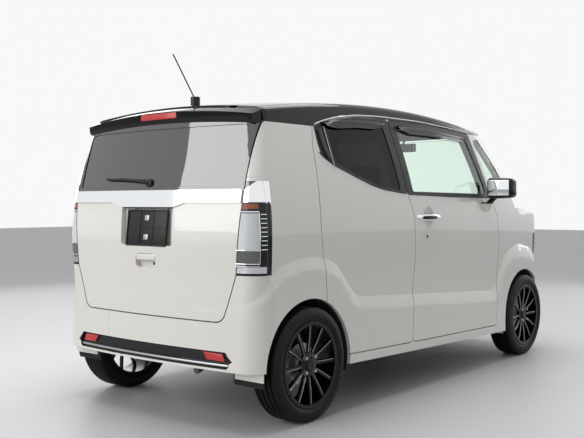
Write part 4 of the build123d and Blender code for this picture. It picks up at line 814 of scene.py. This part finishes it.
# ---- lamps ------------------------------------------------------------------------------------------
@dataclass
class TailLamps:
    """Bright bar, clear lower block, ribbed lens, amber-red block and dark side with rungs."""

    car: Carrier
    corner: float = -1604.0
    bar: tuple[float, float] = (757, 787)
    reverse: tuple[float, float] = (798, 863)
    ribbed: tuple[float, float] = (867, 1037)
    amber: tuple[float, float] = (1058, 1082)

    def build(self) -> None:
        """Part the lamps into zones and add frames and rungs."""
        lamps = self.car.carry("tail_lamps", SMOKED, 20)
        for low, high in (self.bar, self.reverse, self.ribbed, self.amber):
            for z in (low, high):
                score(lamps, point(0, 0, z), Vector((0, 0, 1)))
        score(lamps, point(self.corner, 0, 0), Vector((1, 0, 0)))
        for finish, (low, high) in ((CHROME, self.bar), (LENS, self.reverse), (RIBBED_LENS, self.ribbed),
                                    (AMBER_RED, self.amber)):
            self.car.repaint(lamps, finish, self._zone(low, high))
        self.car.repaint(lamps, CHROME, lambda c, n: self.bar[0] < c.z < self.bar[1] and self._outer(c, n))
        self._caps()
        for name, side in (("left", 1), ("right", -1)):
            self._rungs(name, side)
            self._reverse_frame(name, side)

    @staticmethod
    def _outer(centre: Vector, normal: Vector) -> bool:
        """Whether a face is on the lamp's outer skin."""
        outward = normal.y if centre.y > 0 else -normal.y
        return normal.x < -0.3 or outward > 0.3

    def _zone(self, low: float, high: float) -> Callable[[Vector, Vector], bool]:
        """A test for the outer faces of the tail's part of the lamp between two heights."""
        return lambda c, n: low < c.z < high and c.x < self.corner and self._outer(c, n)

    def _caps(self) -> None:
        """Bright ends of the garnish, their upper inner corner part of the window's dark border."""
        caps = self.car.carry("lamp_caps", CHROME, 25)
        score(caps, point(0, 0, 1188), Vector((0, 0, 1)))
        for side in (1, -1):
            score(caps, point(0, 626 * side, 1150), Vector((0, -0.66 * side, 0.75)))
        self.car.repaint(caps, TAIL_BORDER, lambda c, n: c.z - 1150 > (abs(c.y) - 626) * 0.88 and c.z < 1188)
        self.car.repaint(caps, PEARL, lambda c, n: c.z > 1188)

    def _rungs(self, name: str, side: int) -> None:
        """A ladder of bright rungs on the dark side of the lamp."""
        for i in range(9):
            z = 868 + 20.5 * i
            rows = [self.car.side(x, z, side, 0.4) for x in (-1600, -1590, -1580, -1570)]
            rung = bead(rows, 2.6)
            finish_piece(rung, f"lamp_rung_{name}_{i}", CHROME, "body")

    def _reverse_frame(self, name: str, side: int) -> None:
        """Bright frame round the clear lower block and white lines between the blocks."""
        for number, (z, radius) in enumerate(((864, 2.2), (801, 2.2), (1044, 4.0), (791, 1.2))):
            inner = 612 - 0.075 * (1088 - z)
            rows = [self.car.tail(y * side, z, 0.3) for y in (inner, 635, 655)]
            rows += [self.car.side(x, z, side, 0.3) for x in (-1625, -1614, self.corner)]
            finish_piece(bead(rows, radius), f"lamp_line_{name}_{number}", CHROME, "body")
        rows = [self.car.side(self.corner, z, side, 0.3) for z in (800, 830, 864, 920, 980, 1040)]
        finish_piece(bead(rows, 2.0), f"lamp_upright_{name}", CHROME, "body")
        rows = [self.car.side(-1546, z, side, 0.3) for z in (795, 860, 920, 980, 1040, 1082)]
        finish_piece(bead(rows, 3.0), f"lamp_edge_{name}", GLOSS_BLACK, "body")


@dataclass
class Tail:
    """Fittings of the tailgate and of the rear bumper."""

    car: Carrier
    reflector: Rows = ((394, 373), (512, 371), (531, 334), (420, 336))

    def build(self) -> None:
        """Build each fitting."""
        self.car.carry("tailgate_garnish", CHROME, 25)
        self._handle()
        self._plate_holder()
        self._stop_lamp()
        self._wiper()
        self._bumper_insert()

    def _handle(self) -> None:
        """Body-coloured flap over a shadowed pocket, with a lock."""
        face = self.car.tail(110, 800).x
        low, high = Vector((face - 0.002, -0.070, 0.796)), Vector((face + 0.012, 0.070, 0.828))
        finish_piece(rounded_block(low, high, 5), "gate_handle_flap", PEARL, "tailgate")
        lock = turned(((0, 0), (0, 8), (3, 8), (4, 6.5), (4, 3), (3, 0)), Vector((0, 0, 0)), 1, 32)
        lock.rotation_euler = (0, 0, math.radians(90))
        lock.location = Vector((face + 0.014, -0.054, 0.780))
        finish_piece(lock, "gate_lock", SATIN_BLACK, "tailgate")

    def _plate_holder(self) -> None:
        """Blank dark plate holder with its raised rim, grid and two pale fixing pads."""
        top, foot = point(-1664, 0, 1050), point(-1684, 0, 866)
        lean = math.atan2(top.x - foot.x, top.z - foot.z)
        middle = (top + foot) / 2
        parts = [
            ("plate_holder", SATIN_BLACK, (-5, -150, -93), (5, 150, 93), 4.5),
            ("plate_pad_upper", SILVER, (-9, -16, 38), (-4, 16, 66), 1.5),
            ("plate_pad_lower", SILVER, (-9, -16, -60), (-4, 16, -32), 1.5),
        ]
        for y in (-48, 48):
            parts.append((f"plate_rib_{y + 48}", SATIN_BLACK, (-7.5, y - 1.5, -88), (-4, y + 1.5, 88), 0.8))
        parts.append(("plate_rib_level", SATIN_BLACK, (-7.5, -145, 3), (-4, 145, 6), 0.8))
        for number, (low, high) in enumerate((((-9, -150, -93), (-4, -143, 93)), ((-9, 143, -93), (-4, 150, 93)),
                                              ((-9, -150, 86), (-4, 150, 93)), ((-9, -150, -93), (-4, 150, -84)))):
            parts.append((f"plate_rim_{number}", SATIN_BLACK, low, high, 1.5))
        for name, finish, low, high, radius in parts:
            made = rounded_block(point(*low), point(*high), radius)
            made.rotation_euler = (0, lean, 0)
            made.location = middle + Vector((0, 0, 0)) + self._turned((point(*low) + point(*high)) / 2, lean)
            finish_piece(made, name, finish, "tailgate")
        self._plate_lamp()

    @staticmethod
    def _turned(offset: Vector, lean: float) -> Vector:
        """An offset turned about the Y axis."""
        c, s = math.cos(lean), math.sin(lean)
        return Vector((c * offset.x + s * offset.z, offset.y, c * offset.z - s * offset.x))

    def _plate_lamp(self) -> None:
        """Dark strip with two lamps under the garnish."""
        low, high = point(-1684, -172, 1058), point(-1658, 172, 1071)
        finish_piece(rounded_block(low, high, 4), "plate_lamp_bar", SATIN_BLACK, "tailgate")
        for name, y in (("left", 120), ("right", -120)):
            lens = rounded_block(point(-1680, y - 22, 1053), point(-1664, y + 22, 1060), 2.5)
            finish_piece(lens, f"plate_lamp_{name}", LENS, "tailgate")

    def _stop_lamp(self) -> None:
        """Red high lamp in the spoiler and the washer nozzle beside it."""
        face = self.car.tail(0, 1530).x
        edge = self.car.tail(130, 1530).x
        finish_piece(self._bowed((-133, 133), (1513, 1546), face - 0.002, edge - 0.002, 3.5),
                     "stop_lamp", RED_LENS, "tailgate")
        nozzle = self.car.tail(163, 1538)
        made = rounded_block(nozzle - point(9, 15, 5), nozzle + point(6, 15, 7), 4)
        finish_piece(made, "washer_nozzle", SATIN_BLACK, "tailgate")

    def _bowed(self, y: tuple[float, float], z: tuple[float, float], face: float, edge: float,
               radius: float) -> bpy.types.Object:
        """A rounded bar that follows the tail's bow: its middle and ends at the given x."""
        made = rounded_block(Vector((face, y[0] * MM, z[0] * MM)), Vector((face + 0.016, y[1] * MM, z[1] * MM)),
                             radius)
        in_edit(made, lambda: bpy.ops.mesh.subdivide(number_cuts=2))
        half = (y[1] - y[0]) / 2 * MM
        middle = (y[1] + y[0]) / 2 * MM
        for vertex in made.data.vertices:
            vertex.co.x += (edge - face) * ((vertex.co.y + made.location.y - middle) / half) ** 2
        return made

    def _wiper(self) -> None:
        """Parked wiper: cap, arm, blade and rubber."""
        hub = self.car.tail(0, 1186)
        cap = turned(((0, 0), (0, 24), (10, 23), (17, 17), (20, 0)), Vector((0, 0, 0)), 1, 40)
        cap.rotation_euler = (0, 0, math.radians(90))
        cap.location = hub + point(2, 0, 0)
        finish_piece(cap, "wiper_cap", SATIN_BLACK, "tailgate")
        rows = [hub + point(-16, 0, 2)] + [self.car.tail(y, z, out) for y, z, out in (
            (60, 1193, 22), (150, 1201, 20), (235, 1207, 16))]
        arm = bead(rows, 7.5)
        finish_piece(arm, "wiper_arm", SATIN_BLACK, "tailgate")
        blade = bead([self.car.tail(y, 1196 + 0.035 * y, 13) for y in (30, 110, 200, 290, 345)], 6.5)
        finish_piece(blade, "wiper_blade", SATIN_BLACK, "tailgate")
        rubber = bead([self.car.tail(y, 1195 + 0.035 * y, 5) for y in (22, 110, 200, 290, 352)], 4.0)
        finish_piece(rubber, "wiper_rubber", SEAL, "tailgate")
        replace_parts(blade, "rear_wiper")

    def _bumper_insert(self) -> None:
        """Silver strip and reflectors in the bumper's dark lower insert."""
        rows = [self.car.tail(y, 316, 2.0) for y in range(-545, 546, 109)]
        finish_piece(bead(rows, 7.0), "insert_strip", SILVER, "body")
        rows = [self.car.tail(y, 327, 2.5) for y in range(-545, 546, 109)]
        finish_piece(bead(rows, 2.5), "insert_groove", GLOSS_BLACK, "body")
        for name, side in (("left", 1), ("right", -1)):
            self._reflector(name, side)

    def _reflector(self, name: str, side: int) -> None:
        """Red slanted reflector in its dark frame."""
        corners = [(y * side, z) for y, z in self.reflector]
        bpy.ops.object.select_all(action="DESELECT")
        bpy.ops.mesh.primitive_circle_add(vertices=len(corners), radius=1.0, fill_type="NGON")
        made = bpy.context.active_object
        for vertex, (y, z) in zip(made.data.vertices, corners):
            vertex.co = self.car.tail(y, z, 1.0)
        in_edit(made, lambda: (
            bpy.ops.mesh.extrude_region_move(TRANSFORM_OT_translate={"value": (-0.008, 0, 0)}),
            bpy.ops.mesh.select_all(action="SELECT"),
            bpy.ops.mesh.normals_make_consistent(inside=False)))
        modify(made, "BEVEL", width=0.004, segments=3, limit_method="ANGLE")
        finish_piece(made, f"reflector_{name}", RED_LENS, "body")


# ---- doors -----------------------------------------------------------------------------------------
@dataclass
class DoorFurniture:
    """Pull handle, keyhole, mirror and rain visors of one side."""

    car: Carrier
    name: str

    @property
    def side(self) -> int:
        """1 on the left and -1 on the right."""
        return 1 if self.name == "left" else -1

    def build(self) -> None:
        """Build each fitting."""
        self._handle()
        self._rear_handle()
        self._mirror()
        self._visors()

    def _at(self, x: float, z: float, out: float = 0.0) -> Vector:
        """A point on this side's surface."""
        return self.car.side(x, z, self.side, out)

    def _handle(self) -> None:
        """Bright pull with a dark centre over an oval scoop, and the keyhole below."""
        body = f"front_door_{self.name}"
        door = bpy.data.objects[f"door_front_{self.name}_finished"]
        bpy.ops.object.select_all(action="DESELECT")
        bpy.ops.mesh.primitive_uv_sphere_add(segments=48, ring_count=24, radius=1.0, location=self._at(-104, 1000))
        scoop = bpy.context.active_object
        scoop.scale = (0.056, 0.026, 0.066)
        bpy.ops.object.transform_apply(location=False, rotation=False, scale=True)
        modify(door, "BOOLEAN", operation="DIFFERENCE", object=scoop, solver="EXACT")
        drop(scoop)
        smooth(door, 28)
        pull = self._oval(-104, 1000, 134, 19, 25)
        finish_piece(pull, f"door_pull_{self.name}", CHROME, body)
        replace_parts(pull, f"door_handle_{self.name}")
        dark = self._oval(-112, 1000, 104, 11.5, 33)
        finish_piece(dark, f"door_pull_centre_{self.name}", GLOSS_BLACK, body, 60)
        for x in (-222, 2):
            foot = self._at(x, 1000)
            made = rounded_block(foot - point(17, 8, 16), foot + point(17, 14, 16), 7)
            finish_piece(made, f"door_pull_foot_{x + 222}_{self.name}", CHROME, body)
        hole = self._at(-123, 888)
        key = turned(((-6, 0), (-6, 9), (1.6, 9), (2.4, 7), (1.2, 5), (0, 0)), hole, self.side, 32)
        finish_piece(key, f"keyhole_{self.name}", SATIN_BLACK, body)

    def _oval(self, x: float, z: float, half: float, height: float, out: float) -> bpy.types.Object:
        """A crowned oval bar along the door, its middle standing out from the surface."""
        bpy.ops.object.select_all(action="DESELECT")
        bpy.ops.mesh.primitive_uv_sphere_add(segments=48, ring_count=24, radius=1.0, location=(0, 0, 0))
        made = bpy.context.active_object
        middle = self._at(x, z)
        for vertex in made.data.vertices:
            u, v, w = vertex.co
            bow = self.side * (out * (1 - 0.55 * u * u) - 9)
            thick = math.copysign(abs(v) ** 0.8, v) * 8
            wide = math.copysign(abs(w) ** 0.7, w)
            vertex.co = middle + point(half * math.copysign(abs(u) ** 0.75, u), bow + thick, height * wide)
        return made

    def _rear_handle(self) -> None:
        """Tall hidden grip behind the rear door's window."""
        body = f"rear_door_{self.name}"
        rows = [self._at(x, z, 3) for x, z in ((-1090, 1462), (-1086, 1420), (-1066, 1345), (-1040, 1312))]
        finish_piece(bead(rows, 13), f"rear_door_grip_{self.name}", DASH, body)
        rows = [self._at(x, z, 4) for x, z in ((-1052, 1478), (-1040, 1400), (-1016, 1272))]
        finish_piece(bead(rows, 3), f"rear_door_grip_edge_{self.name}", SILVER, body)

    def _mirror(self) -> None:
        """Rounded black housing, glass, side lamp and body-coloured foot."""
        body = f"front_door_{self.name}"
        low, high = Vector((0.606, 0.742, 1.112)), Vector((0.735, 0.912, 1.255))
        if self.side < 0:
            low.y, high.y = -high.y, -low.y
        housing = rounded_block(low, high, 30, 6)
        for vertex in housing.data.vertices:
            outer = (abs(vertex.co.y + housing.location.y) - 0.742) / 0.17
            vertex.co.x += 0.03 * outer - (0.035 * outer ** 2 if vertex.co.x > 0 else 0)
            vertex.co.z *= 1 - 0.12 * outer
        finish_piece(housing, f"mirror_housing_{self.name}", GLOSS_BLACK, body, 50)
        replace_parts(housing, f"door_mirror_{self.name}")
        frame = rounded_block(point(603, 757, 1128), point(609, 898, 1240), 2.8)
        glass = rounded_block(point(600, 762, 1134), point(606, 892, 1234), 2.8)
        for made, name, finish in ((frame, "rim", SATIN_BLACK), (glass, "glass", MIRROR)):
            for vertex in made.data.vertices:
                vertex.co.x += 0.03 * (vertex.co.y + 0.07) / 0.14
                vertex.co.y *= self.side
            made.location.y *= self.side
            if self.side < 0:
                in_edit(made, lambda: bpy.ops.mesh.normals_make_consistent(inside=False))
            finish_piece(made, f"mirror_{name}_{self.name}", finish, body)
        tip = rounded_block(Vector((0.655, 0.893, 1.178)), Vector((0.700, 0.9115, 1.222)), 6)
        for vertex in tip.data.vertices:
            vertex.co.y *= self.side
        tip.location.y *= self.side
        if self.side < 0:
            in_edit(tip, lambda: bpy.ops.mesh.normals_make_consistent(inside=False))
        finish_piece(tip, f"mirror_side_lamp_{self.name}", LENS, body)
        self._mirror_foot(body)

    def _mirror_foot(self, body: str) -> None:
        """Teardrop foot in body colour with a dark gasket and a short stem."""
        bpy.ops.object.select_all(action="DESELECT")
        bpy.ops.mesh.primitive_uv_sphere_add(segments=40, ring_count=24, radius=1.0, location=(0, 0, 0))
        foot = bpy.context.active_object
        middle = self._at(655, 1078)
        for vertex in foot.data.vertices:
            x, y, z = vertex.co
            slim = 1 - 0.35 * max(x, 0)
            drop_z = z * (1.0 if z < 0 else 0.28)
            vertex.co = middle + point(62 * x + 10, 44 * y * slim, 50 * drop_z * slim)
        finish_piece(foot, f"mirror_foot_{self.name}", PEARL, body, 60)
        rows = [middle + point(62 * c + 10, 45 * s, 9) for c, s in (
            (math.cos(math.radians(a)), math.sin(math.radians(a))) for a in range(0, 361, 20))]
        finish_piece(bead(rows, 4), f"mirror_gasket_{self.name}", SEAL, body)
        stem = [middle + point(10, 14 * self.side, 0), middle + point(14, 40 * self.side, 28),
                point(665, 790 * self.side, 1132)]
        finish_piece(bead(stem, 17), f"mirror_stem_{self.name}", GLOSS_BLACK, body)

    def _visors(self) -> None:
        """Smoked rain visors along the tops of the side windows."""
        for place, rows in (
            ("front", ((-345, 1528), (-200, 1532), (0, 1534), (200, 1530), (400, 1520), (505, 1508))),
            ("rear", ((-1060, 1500), (-930, 1519), (-760, 1534), (-600, 1537), (-470, 1534))),
        ):
            body = f"{place}_door_{self.name}"
            self._visor(f"rain_visor_{place}_{self.name}", rows, body)

    def _visor(self, name: str, rows: Rows, body: str) -> None:
        """A slim curved blade that stands a little out from the window's top."""
        bpy.ops.object.select_all(action="DESELECT")
        dense = []
        for (x0, z0), (x1, z1) in zip(rows, rows[1:]):
            dense += [(x0 + (x1 - x0) * i / 4, z0 + (z1 - z0) * i / 4) for i in range(4)]
        dense.append(rows[-1])
        bpy.ops.mesh.primitive_grid_add(x_subdivisions=len(dense) - 1, y_subdivisions=4, size=1.0)
        blade = bpy.context.active_object
        columns = len(dense)
        for number, vertex in enumerate(blade.data.vertices):
            column, row = number % columns, number // columns
            x, z = dense[column]
            end = min(column, columns - 1 - column) / 4
            depth = 46 * min(end, 1.0) ** 0.5
            share = row / 4
            vertex.co = self._at(x, z - depth * share, 2 + 13 * share ** 0.6)
        modify(blade, "SOLIDIFY", thickness=0.0025, offset=0)
        in_edit(blade, lambda: bpy.ops.mesh.normals_make_consistent(inside=False))
        finish_piece(blade, name, SMOKED, body, 50)


# ---- nose ------------------------------------------------------------------------------------------
@dataclass
class Nose:
    """Head lamps, grille, bumper intakes, fog lamps and plate base."""

    car: Carrier

    def build(self) -> None:
        """Build the nose's pieces."""
        grille = self.car.carry("grille", GLOSS_BLACK, 25)
        self.car.repaint(grille, MATT_BLACK, lambda c, n: n.x < 0.2)
        self._lamps()
        for i, z in enumerate((753, 789, 825, 861)):
            rows = [self.car.nose(y, z + 18, 1.5) for y in range(-330, 331, 110)]
            finish_piece(bead(rows, 3.2), f"grille_bar_{i}", CHROME, "body")
        rows = [self.car.nose(y, 708, 1.0) for y in range(-372, 373, 93)]
        finish_piece(bead(rows, 6.0), "grille_lower_bar", CHROME, "body")
        self._intakes()
        base = self.car.nose(0, 560)
        plate = rounded_block(base - point(14, 170, 85), base + point(9, 170, 85), 4)
        finish_piece(plate, "front_plate_base", SATIN_BLACK, "body")

    def _lamps(self) -> None:
        """Clear lenses over dark housings with a round main unit and a bright brow."""
        lamps = self.car.carry("head_lamps", LENS, 25)
        self.car.repaint(lamps, SATIN_BLACK, lambda c, n: n.x < 0.25 and abs(n.y) < 0.75)
        for name, side in (("left", 1), ("right", -1)):
            for part, y, z, radius in (("main", 470, 790, 44), ("side", 585, 790, 34)):
                spot = self.car.nose(y * side, z)
                made = turned(((-30, radius), (3, radius), (6, radius - 4), (2, radius - 8), (-4, radius - 12),
                               (1, radius * 0.3), (2, 0)), Vector((0, 0, 0)), 1, 48)
                made.rotation_euler = (0, 0, math.radians(-90))
                made.location = spot
                finish_piece(made, f"head_lamp_{part}_{name}", CHROME, "body")
            rows = [self.car.nose(y * side, z, 1.5) for y, z in ((388, 856), (470, 866), (560, 874), (625, 868))]
            finish_piece(bead(rows, 5.0), f"head_lamp_brow_{name}", CHROME, "body")
            rows = [self.car.nose(y * side, z, 1.5) for y, z in ((390, 716), (480, 714), (590, 716), (640, 728))]
            finish_piece(bead(rows, 3.5), f"head_lamp_foot_{name}", GLOSS_BLACK, "body")

    def _intakes(self) -> None:
        """Mesh in the lower intakes and round fog lamps at their ends."""
        for i in range(9):
            z = 280 + 18 * i
            if i in (2, 6):
                continue
            rows = [point(1650 - 60 * (y / 400) ** 2, y, z) for y in range(-400, 401, 100)]
            finish_piece(bead(rows, 2.0), f"intake_bar_{i}", SATIN_BLACK, "body")
        for name, side in (("left", 1), ("right", -1)):
            spot = self.car.nose(535 * side, 400)
            for part, profile, finish in (
                ("bezel", ((-6, 44), (4, 44), (6, 40), (3, 34), (-4, 33)), GLOSS_BLACK),
                ("lens", ((-4, 33), (3, 31), (7, 18), (8, 0)), LENS),
            ):
                made = turned(profile, Vector((0, 0, 0)), 1, 40)
                made.rotation_euler = (0, 0, math.radians(-90 + 16 * side))
                made.location = spot
                finish_piece(made, f"fog_lamp_{part}_{name}", finish, "body")


# ---- cabin -----------------------------------------------------------------------------------------
@dataclass
class Cushion:
    """A padded piece with a crowned form and sewn channels.

    Args:
        name: the piece's name.
        low: lowest corner in millimetres.
        high: highest corner.
        lean: how far its top leans back, in millimetres over its height.
        channels: y of sewn channels.
        fill: how tight it is stuffed; not used.
    """

    name: str
    low: tuple[float, float, float]
    high: tuple[float, float, float]
    lean: float = 0.0
    channels: tuple[float, ...] = ()
    fill: float = 0.7
    voxel: float = 9.0
    rise: float = 12.0

    def build(self, body: str = "body") -> bpy.types.Object:
        """Make the pad, swell it and dress it."""
        low, high = point(*self.low), point(*self.high)
        thick = min(high[i] - low[i] for i in range(3))
        made = rounded_block(low + Vector((1, 1, 1)) * self.rise * MM * 0.6,
                             high - Vector((1, 1, 1)) * self.rise * MM * 0.6, thick / MM * 0.32, 4)
        bpy.ops.object.transform_apply(location=True, rotation=True, scale=True)
        for vertex in made.data.vertices:
            share = (vertex.co.z - low.z) / (high.z - low.z)
            vertex.co.x -= self.lean * MM * share
        modify(made, "REMESH", mode="VOXEL", voxel_size=self.voxel * MM)
        self._swell(made)
        modify(made, "SUBSURF", levels=1, render_levels=1)
        self._sew(made)
        finish_piece(made, self.name, FABRIC, body, 60)
        return made

    def _swell(self, made: bpy.types.Object) -> None:
        """Blow the pad up a little with cloth pressure and keep the result."""
        scene = bpy.context.scene
        before = [vertex.co.copy() for vertex in made.data.vertices]
        pick(made)
        cloth = made.modifiers.new("cloth", "CLOTH")
        cloth.settings.use_pressure = True
        cloth.settings.uniform_pressure_force = 4.0
        cloth.settings.effector_weights.gravity = 0.0
        cloth.point_cache.frame_start, cloth.point_cache.frame_end = 1, 14
        for frame_number in range(1, 15):
            scene.frame_set(frame_number)
        bpy.ops.object.modifier_apply(modifier=cloth.name)
        scene.frame_set(1)
        for vertex, start in zip(made.data.vertices, before):
            step = vertex.co - start
            if step.length > self.rise * MM:
                vertex.co = start + step.normalized() * self.rise * MM

    def _sew(self, made: bpy.types.Object) -> None:
        """Draw the sewn channels in."""
        middle = (point(*self.low) + point(*self.high)) / 2
        for vertex in made.data.vertices:
            for y in self.channels:
                gap = abs(vertex.co.y - y * MM) / 0.016
                if gap < 1:
                    vertex.co += (middle - vertex.co).normalized() * 0.007 * (1 - gap) ** 2


@dataclass
class Cabin:
    """Seats, dashboard, steering wheel, inner mirror and trims."""

    car: Carrier

    def build(self) -> None:
        """Build the cabin's pieces."""
        self._seats()
        self.car.carry("dashboard", DASH, 30)
        self._steering_wheel()
        self._dash_details()
        self._mirror()
        self._doors()

    def _seats(self) -> None:
        """Cushions, backs and head restraints on dark bases."""
        pads = []
        for name, y in (("left", 330), ("right", -330)):
            low, high = y - 236, y + 236
            pads += [
                Cushion(f"front_cushion_{name}", (-60, low, 392), (428, high, 548), channels=(y - 130, y + 130)),
                Cushion(f"front_back_{name}", (-78, low, 500), (28, high, 1130), 125,
                        channels=(y - 130, y + 130)),
                Cushion(f"front_head_rest_{name}", (-243, y - 118, 1162), (-167, y + 118, 1318), 0),
            ]
            base = rounded_block(point(0, y - 195, 251), point(378, y + 195, 388), 20)
            finish_piece(base, f"front_seat_base_{name}", TRIM, "body")
            for post in (-50, 50):
                bar = bead([point(-190, y + post, 1080), point(-205, y + post, 1190)], 6)
                finish_piece(bar, f"head_rest_post_{name}_{post + 50}", CHROME, "body")
        pads += [
            Cushion("rear_cushion", (-858, -556, 402), (-442, 556, 568), channels=(-180, 180), voxel=12),
            Cushion("rear_back", (-888, -476, 520), (-790, 476, 1055), 100, channels=(-160, 160), voxel=12),
            Cushion("rear_head_rest_left", (-984, 172, 1077), (-912, 408, 1218)),
            Cushion("rear_head_rest_right", (-984, -408, 1077), (-912, -172, 1218)),
        ]
        built = [pad.build() for pad in pads]
        base = rounded_block(point(-828, -498, 331), point(-482, 498, 402), 12)
        finish_piece(base, "rear_seat_base", TRIM, "body")
        for y in (-320, -260, 260, 320):
            bar = bead([point(-942, y, 1020), point(-950, y, 1100)], 6)
            finish_piece(bar, f"rear_head_rest_post_{y + 320}", CHROME, "body")
        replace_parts(built[0], "seats")

    def _steering_wheel(self) -> None:
        """The wheel in leather with a moulded hub."""
        wheel = self.car.carry("steering_wheel", GRIP, 40)
        hub = Vector((520, -350, 920))
        self.car.repaint(wheel, DASH, lambda c, n: (c - hub).length < 120)

    def _dash_details(self) -> None:
        """Instrument hood, centre screen, vents and gear lever."""
        hood = rounded_block(point(690, -480, 990), point(860, -220, 1062), 26, 5)
        finish_piece(hood, "instrument_hood", DASH, "body")
        dial = rounded_block(point(684, -455, 985), point(692, -245, 1046), 3)
        finish_piece(dial, "instrument_face", GLOSS_BLACK, "body")
        screen = rounded_block(point(700, -95, 850), point(716, 95, 972), 6)
        finish_piece(screen, "centre_screen", GLOSS_BLACK, "body")
        for i, y in enumerate((-560, -140, 140, 560)):
            vent = rounded_block(point(706, y - 42, 885), point(722, y + 42, 950), 10)
            finish_piece(vent, f"vent_{i}", SATIN_BLACK, "body")
        lever = bead([point(720, -70, 780), point(670, -72, 830), point(655, -74, 862)], 9)
        finish_piece(lever, "gear_lever", CHROME, "body")
        knob = rounded_block(point(632, -92, 852), point(674, -54, 900), 15, 5)
        finish_piece(knob, "gear_knob", GRIP, "body")

    def _mirror(self) -> None:
        """Inner mirror on its stem behind the screen."""
        case = rounded_block(point(752, -118, 1452), point(776, 118, 1512), 11, 4)
        finish_piece(case, "inner_mirror", SATIN_BLACK, "body")
        glass = rounded_block(point(748, -110, 1458), point(753, 110, 1506), 2)
        finish_piece(glass, "inner_mirror_glass", MIRROR, "body")
        stem = bead([point(770, 0, 1490), point(800, 0, 1530), point(815, 0, 1560)], 8)
        finish_piece(stem, "inner_mirror_stem", SATIN_BLACK, "body")

    def _doors(self) -> None:
        """Arm rests and inner handles on the doors."""
        for name, side in (("left", 1), ("right", -1)):
            for place, x0, x1 in (("front", -180, 620), ("rear", -760, -380)):
                y0, y1 = sorted((628 * side, 662 * side))
                rest = rounded_block(point(x0, y0, 700), point(x1, y1, 760), 14)
                finish_piece(rest, f"arm_rest_{place}_{name}", TRIM, f"{place}_door_{name}")
                y0, y1 = sorted((646 * side, 664 * side))
                pull = rounded_block(point(x1 - 150, y0, 860), point(x1 - 40, y1, 890), 7)
                finish_piece(pull, f"inner_handle_{place}_{name}", CHROME, f"{place}_door_{name}")


# ---- under the body ---------------------------------------------------------------------------------
@dataclass
class Underside:
    """Running gear, exhaust, tank, floor and engine in their own finishes."""

    car: Carrier

    def build(self) -> None:
        """Dress the nodes under the body."""
        for node, finish in (
            ("floor_pan", CARPET), ("wheelhouses", MATT_BLACK), ("engine_block", CAST_ALLOY),
            ("radiator", CAST_ALLOY), ("front_subframe", DARK_STEEL), ("rear_axle", DARK_STEEL),
            ("exhaust", PIPE), ("fuel_tank", SATIN_BLACK), ("antenna", SATIN_BLACK),
            ("knuckle_left", CAST_ALLOY), ("knuckle_right", CAST_ALLOY),
        ):
            self.car.carry(node, finish, 35)
        floor = bpy.data.objects["floor_pan_finished"]
        self.car.repaint(floor, DARK_STEEL, lambda c, n: n.z < -0.3 or n.x > 0.6)


def clear_scene() -> None:
    """Remove what Blender starts with."""
    for obj in list(bpy.data.objects):
        bpy.data.objects.remove(obj)


def main() -> None:
    """Load the frame and build the car piece by piece."""
    logging.basicConfig(level=logging.INFO, format="%(name)s: %(message)s", stream=sys.stdout)
    clear_scene()
    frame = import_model()
    Studio().build()
    car = Carrier(frame)
    PaintedShell(car).build()
    Glazing(car).build()
    for place in ("front", "rear"):
        for name in ("left", "right"):
            RoadWheel(car, place, name).build()
    TailLamps(car).build()
    Tail(car).build()
    for name in ("left", "right"):
        DoorFurniture(car, name).build()
    Nose(car).build()
    Cabin(car).build()
    Underside(car).build()


if __name__ == "__main__":
    main()
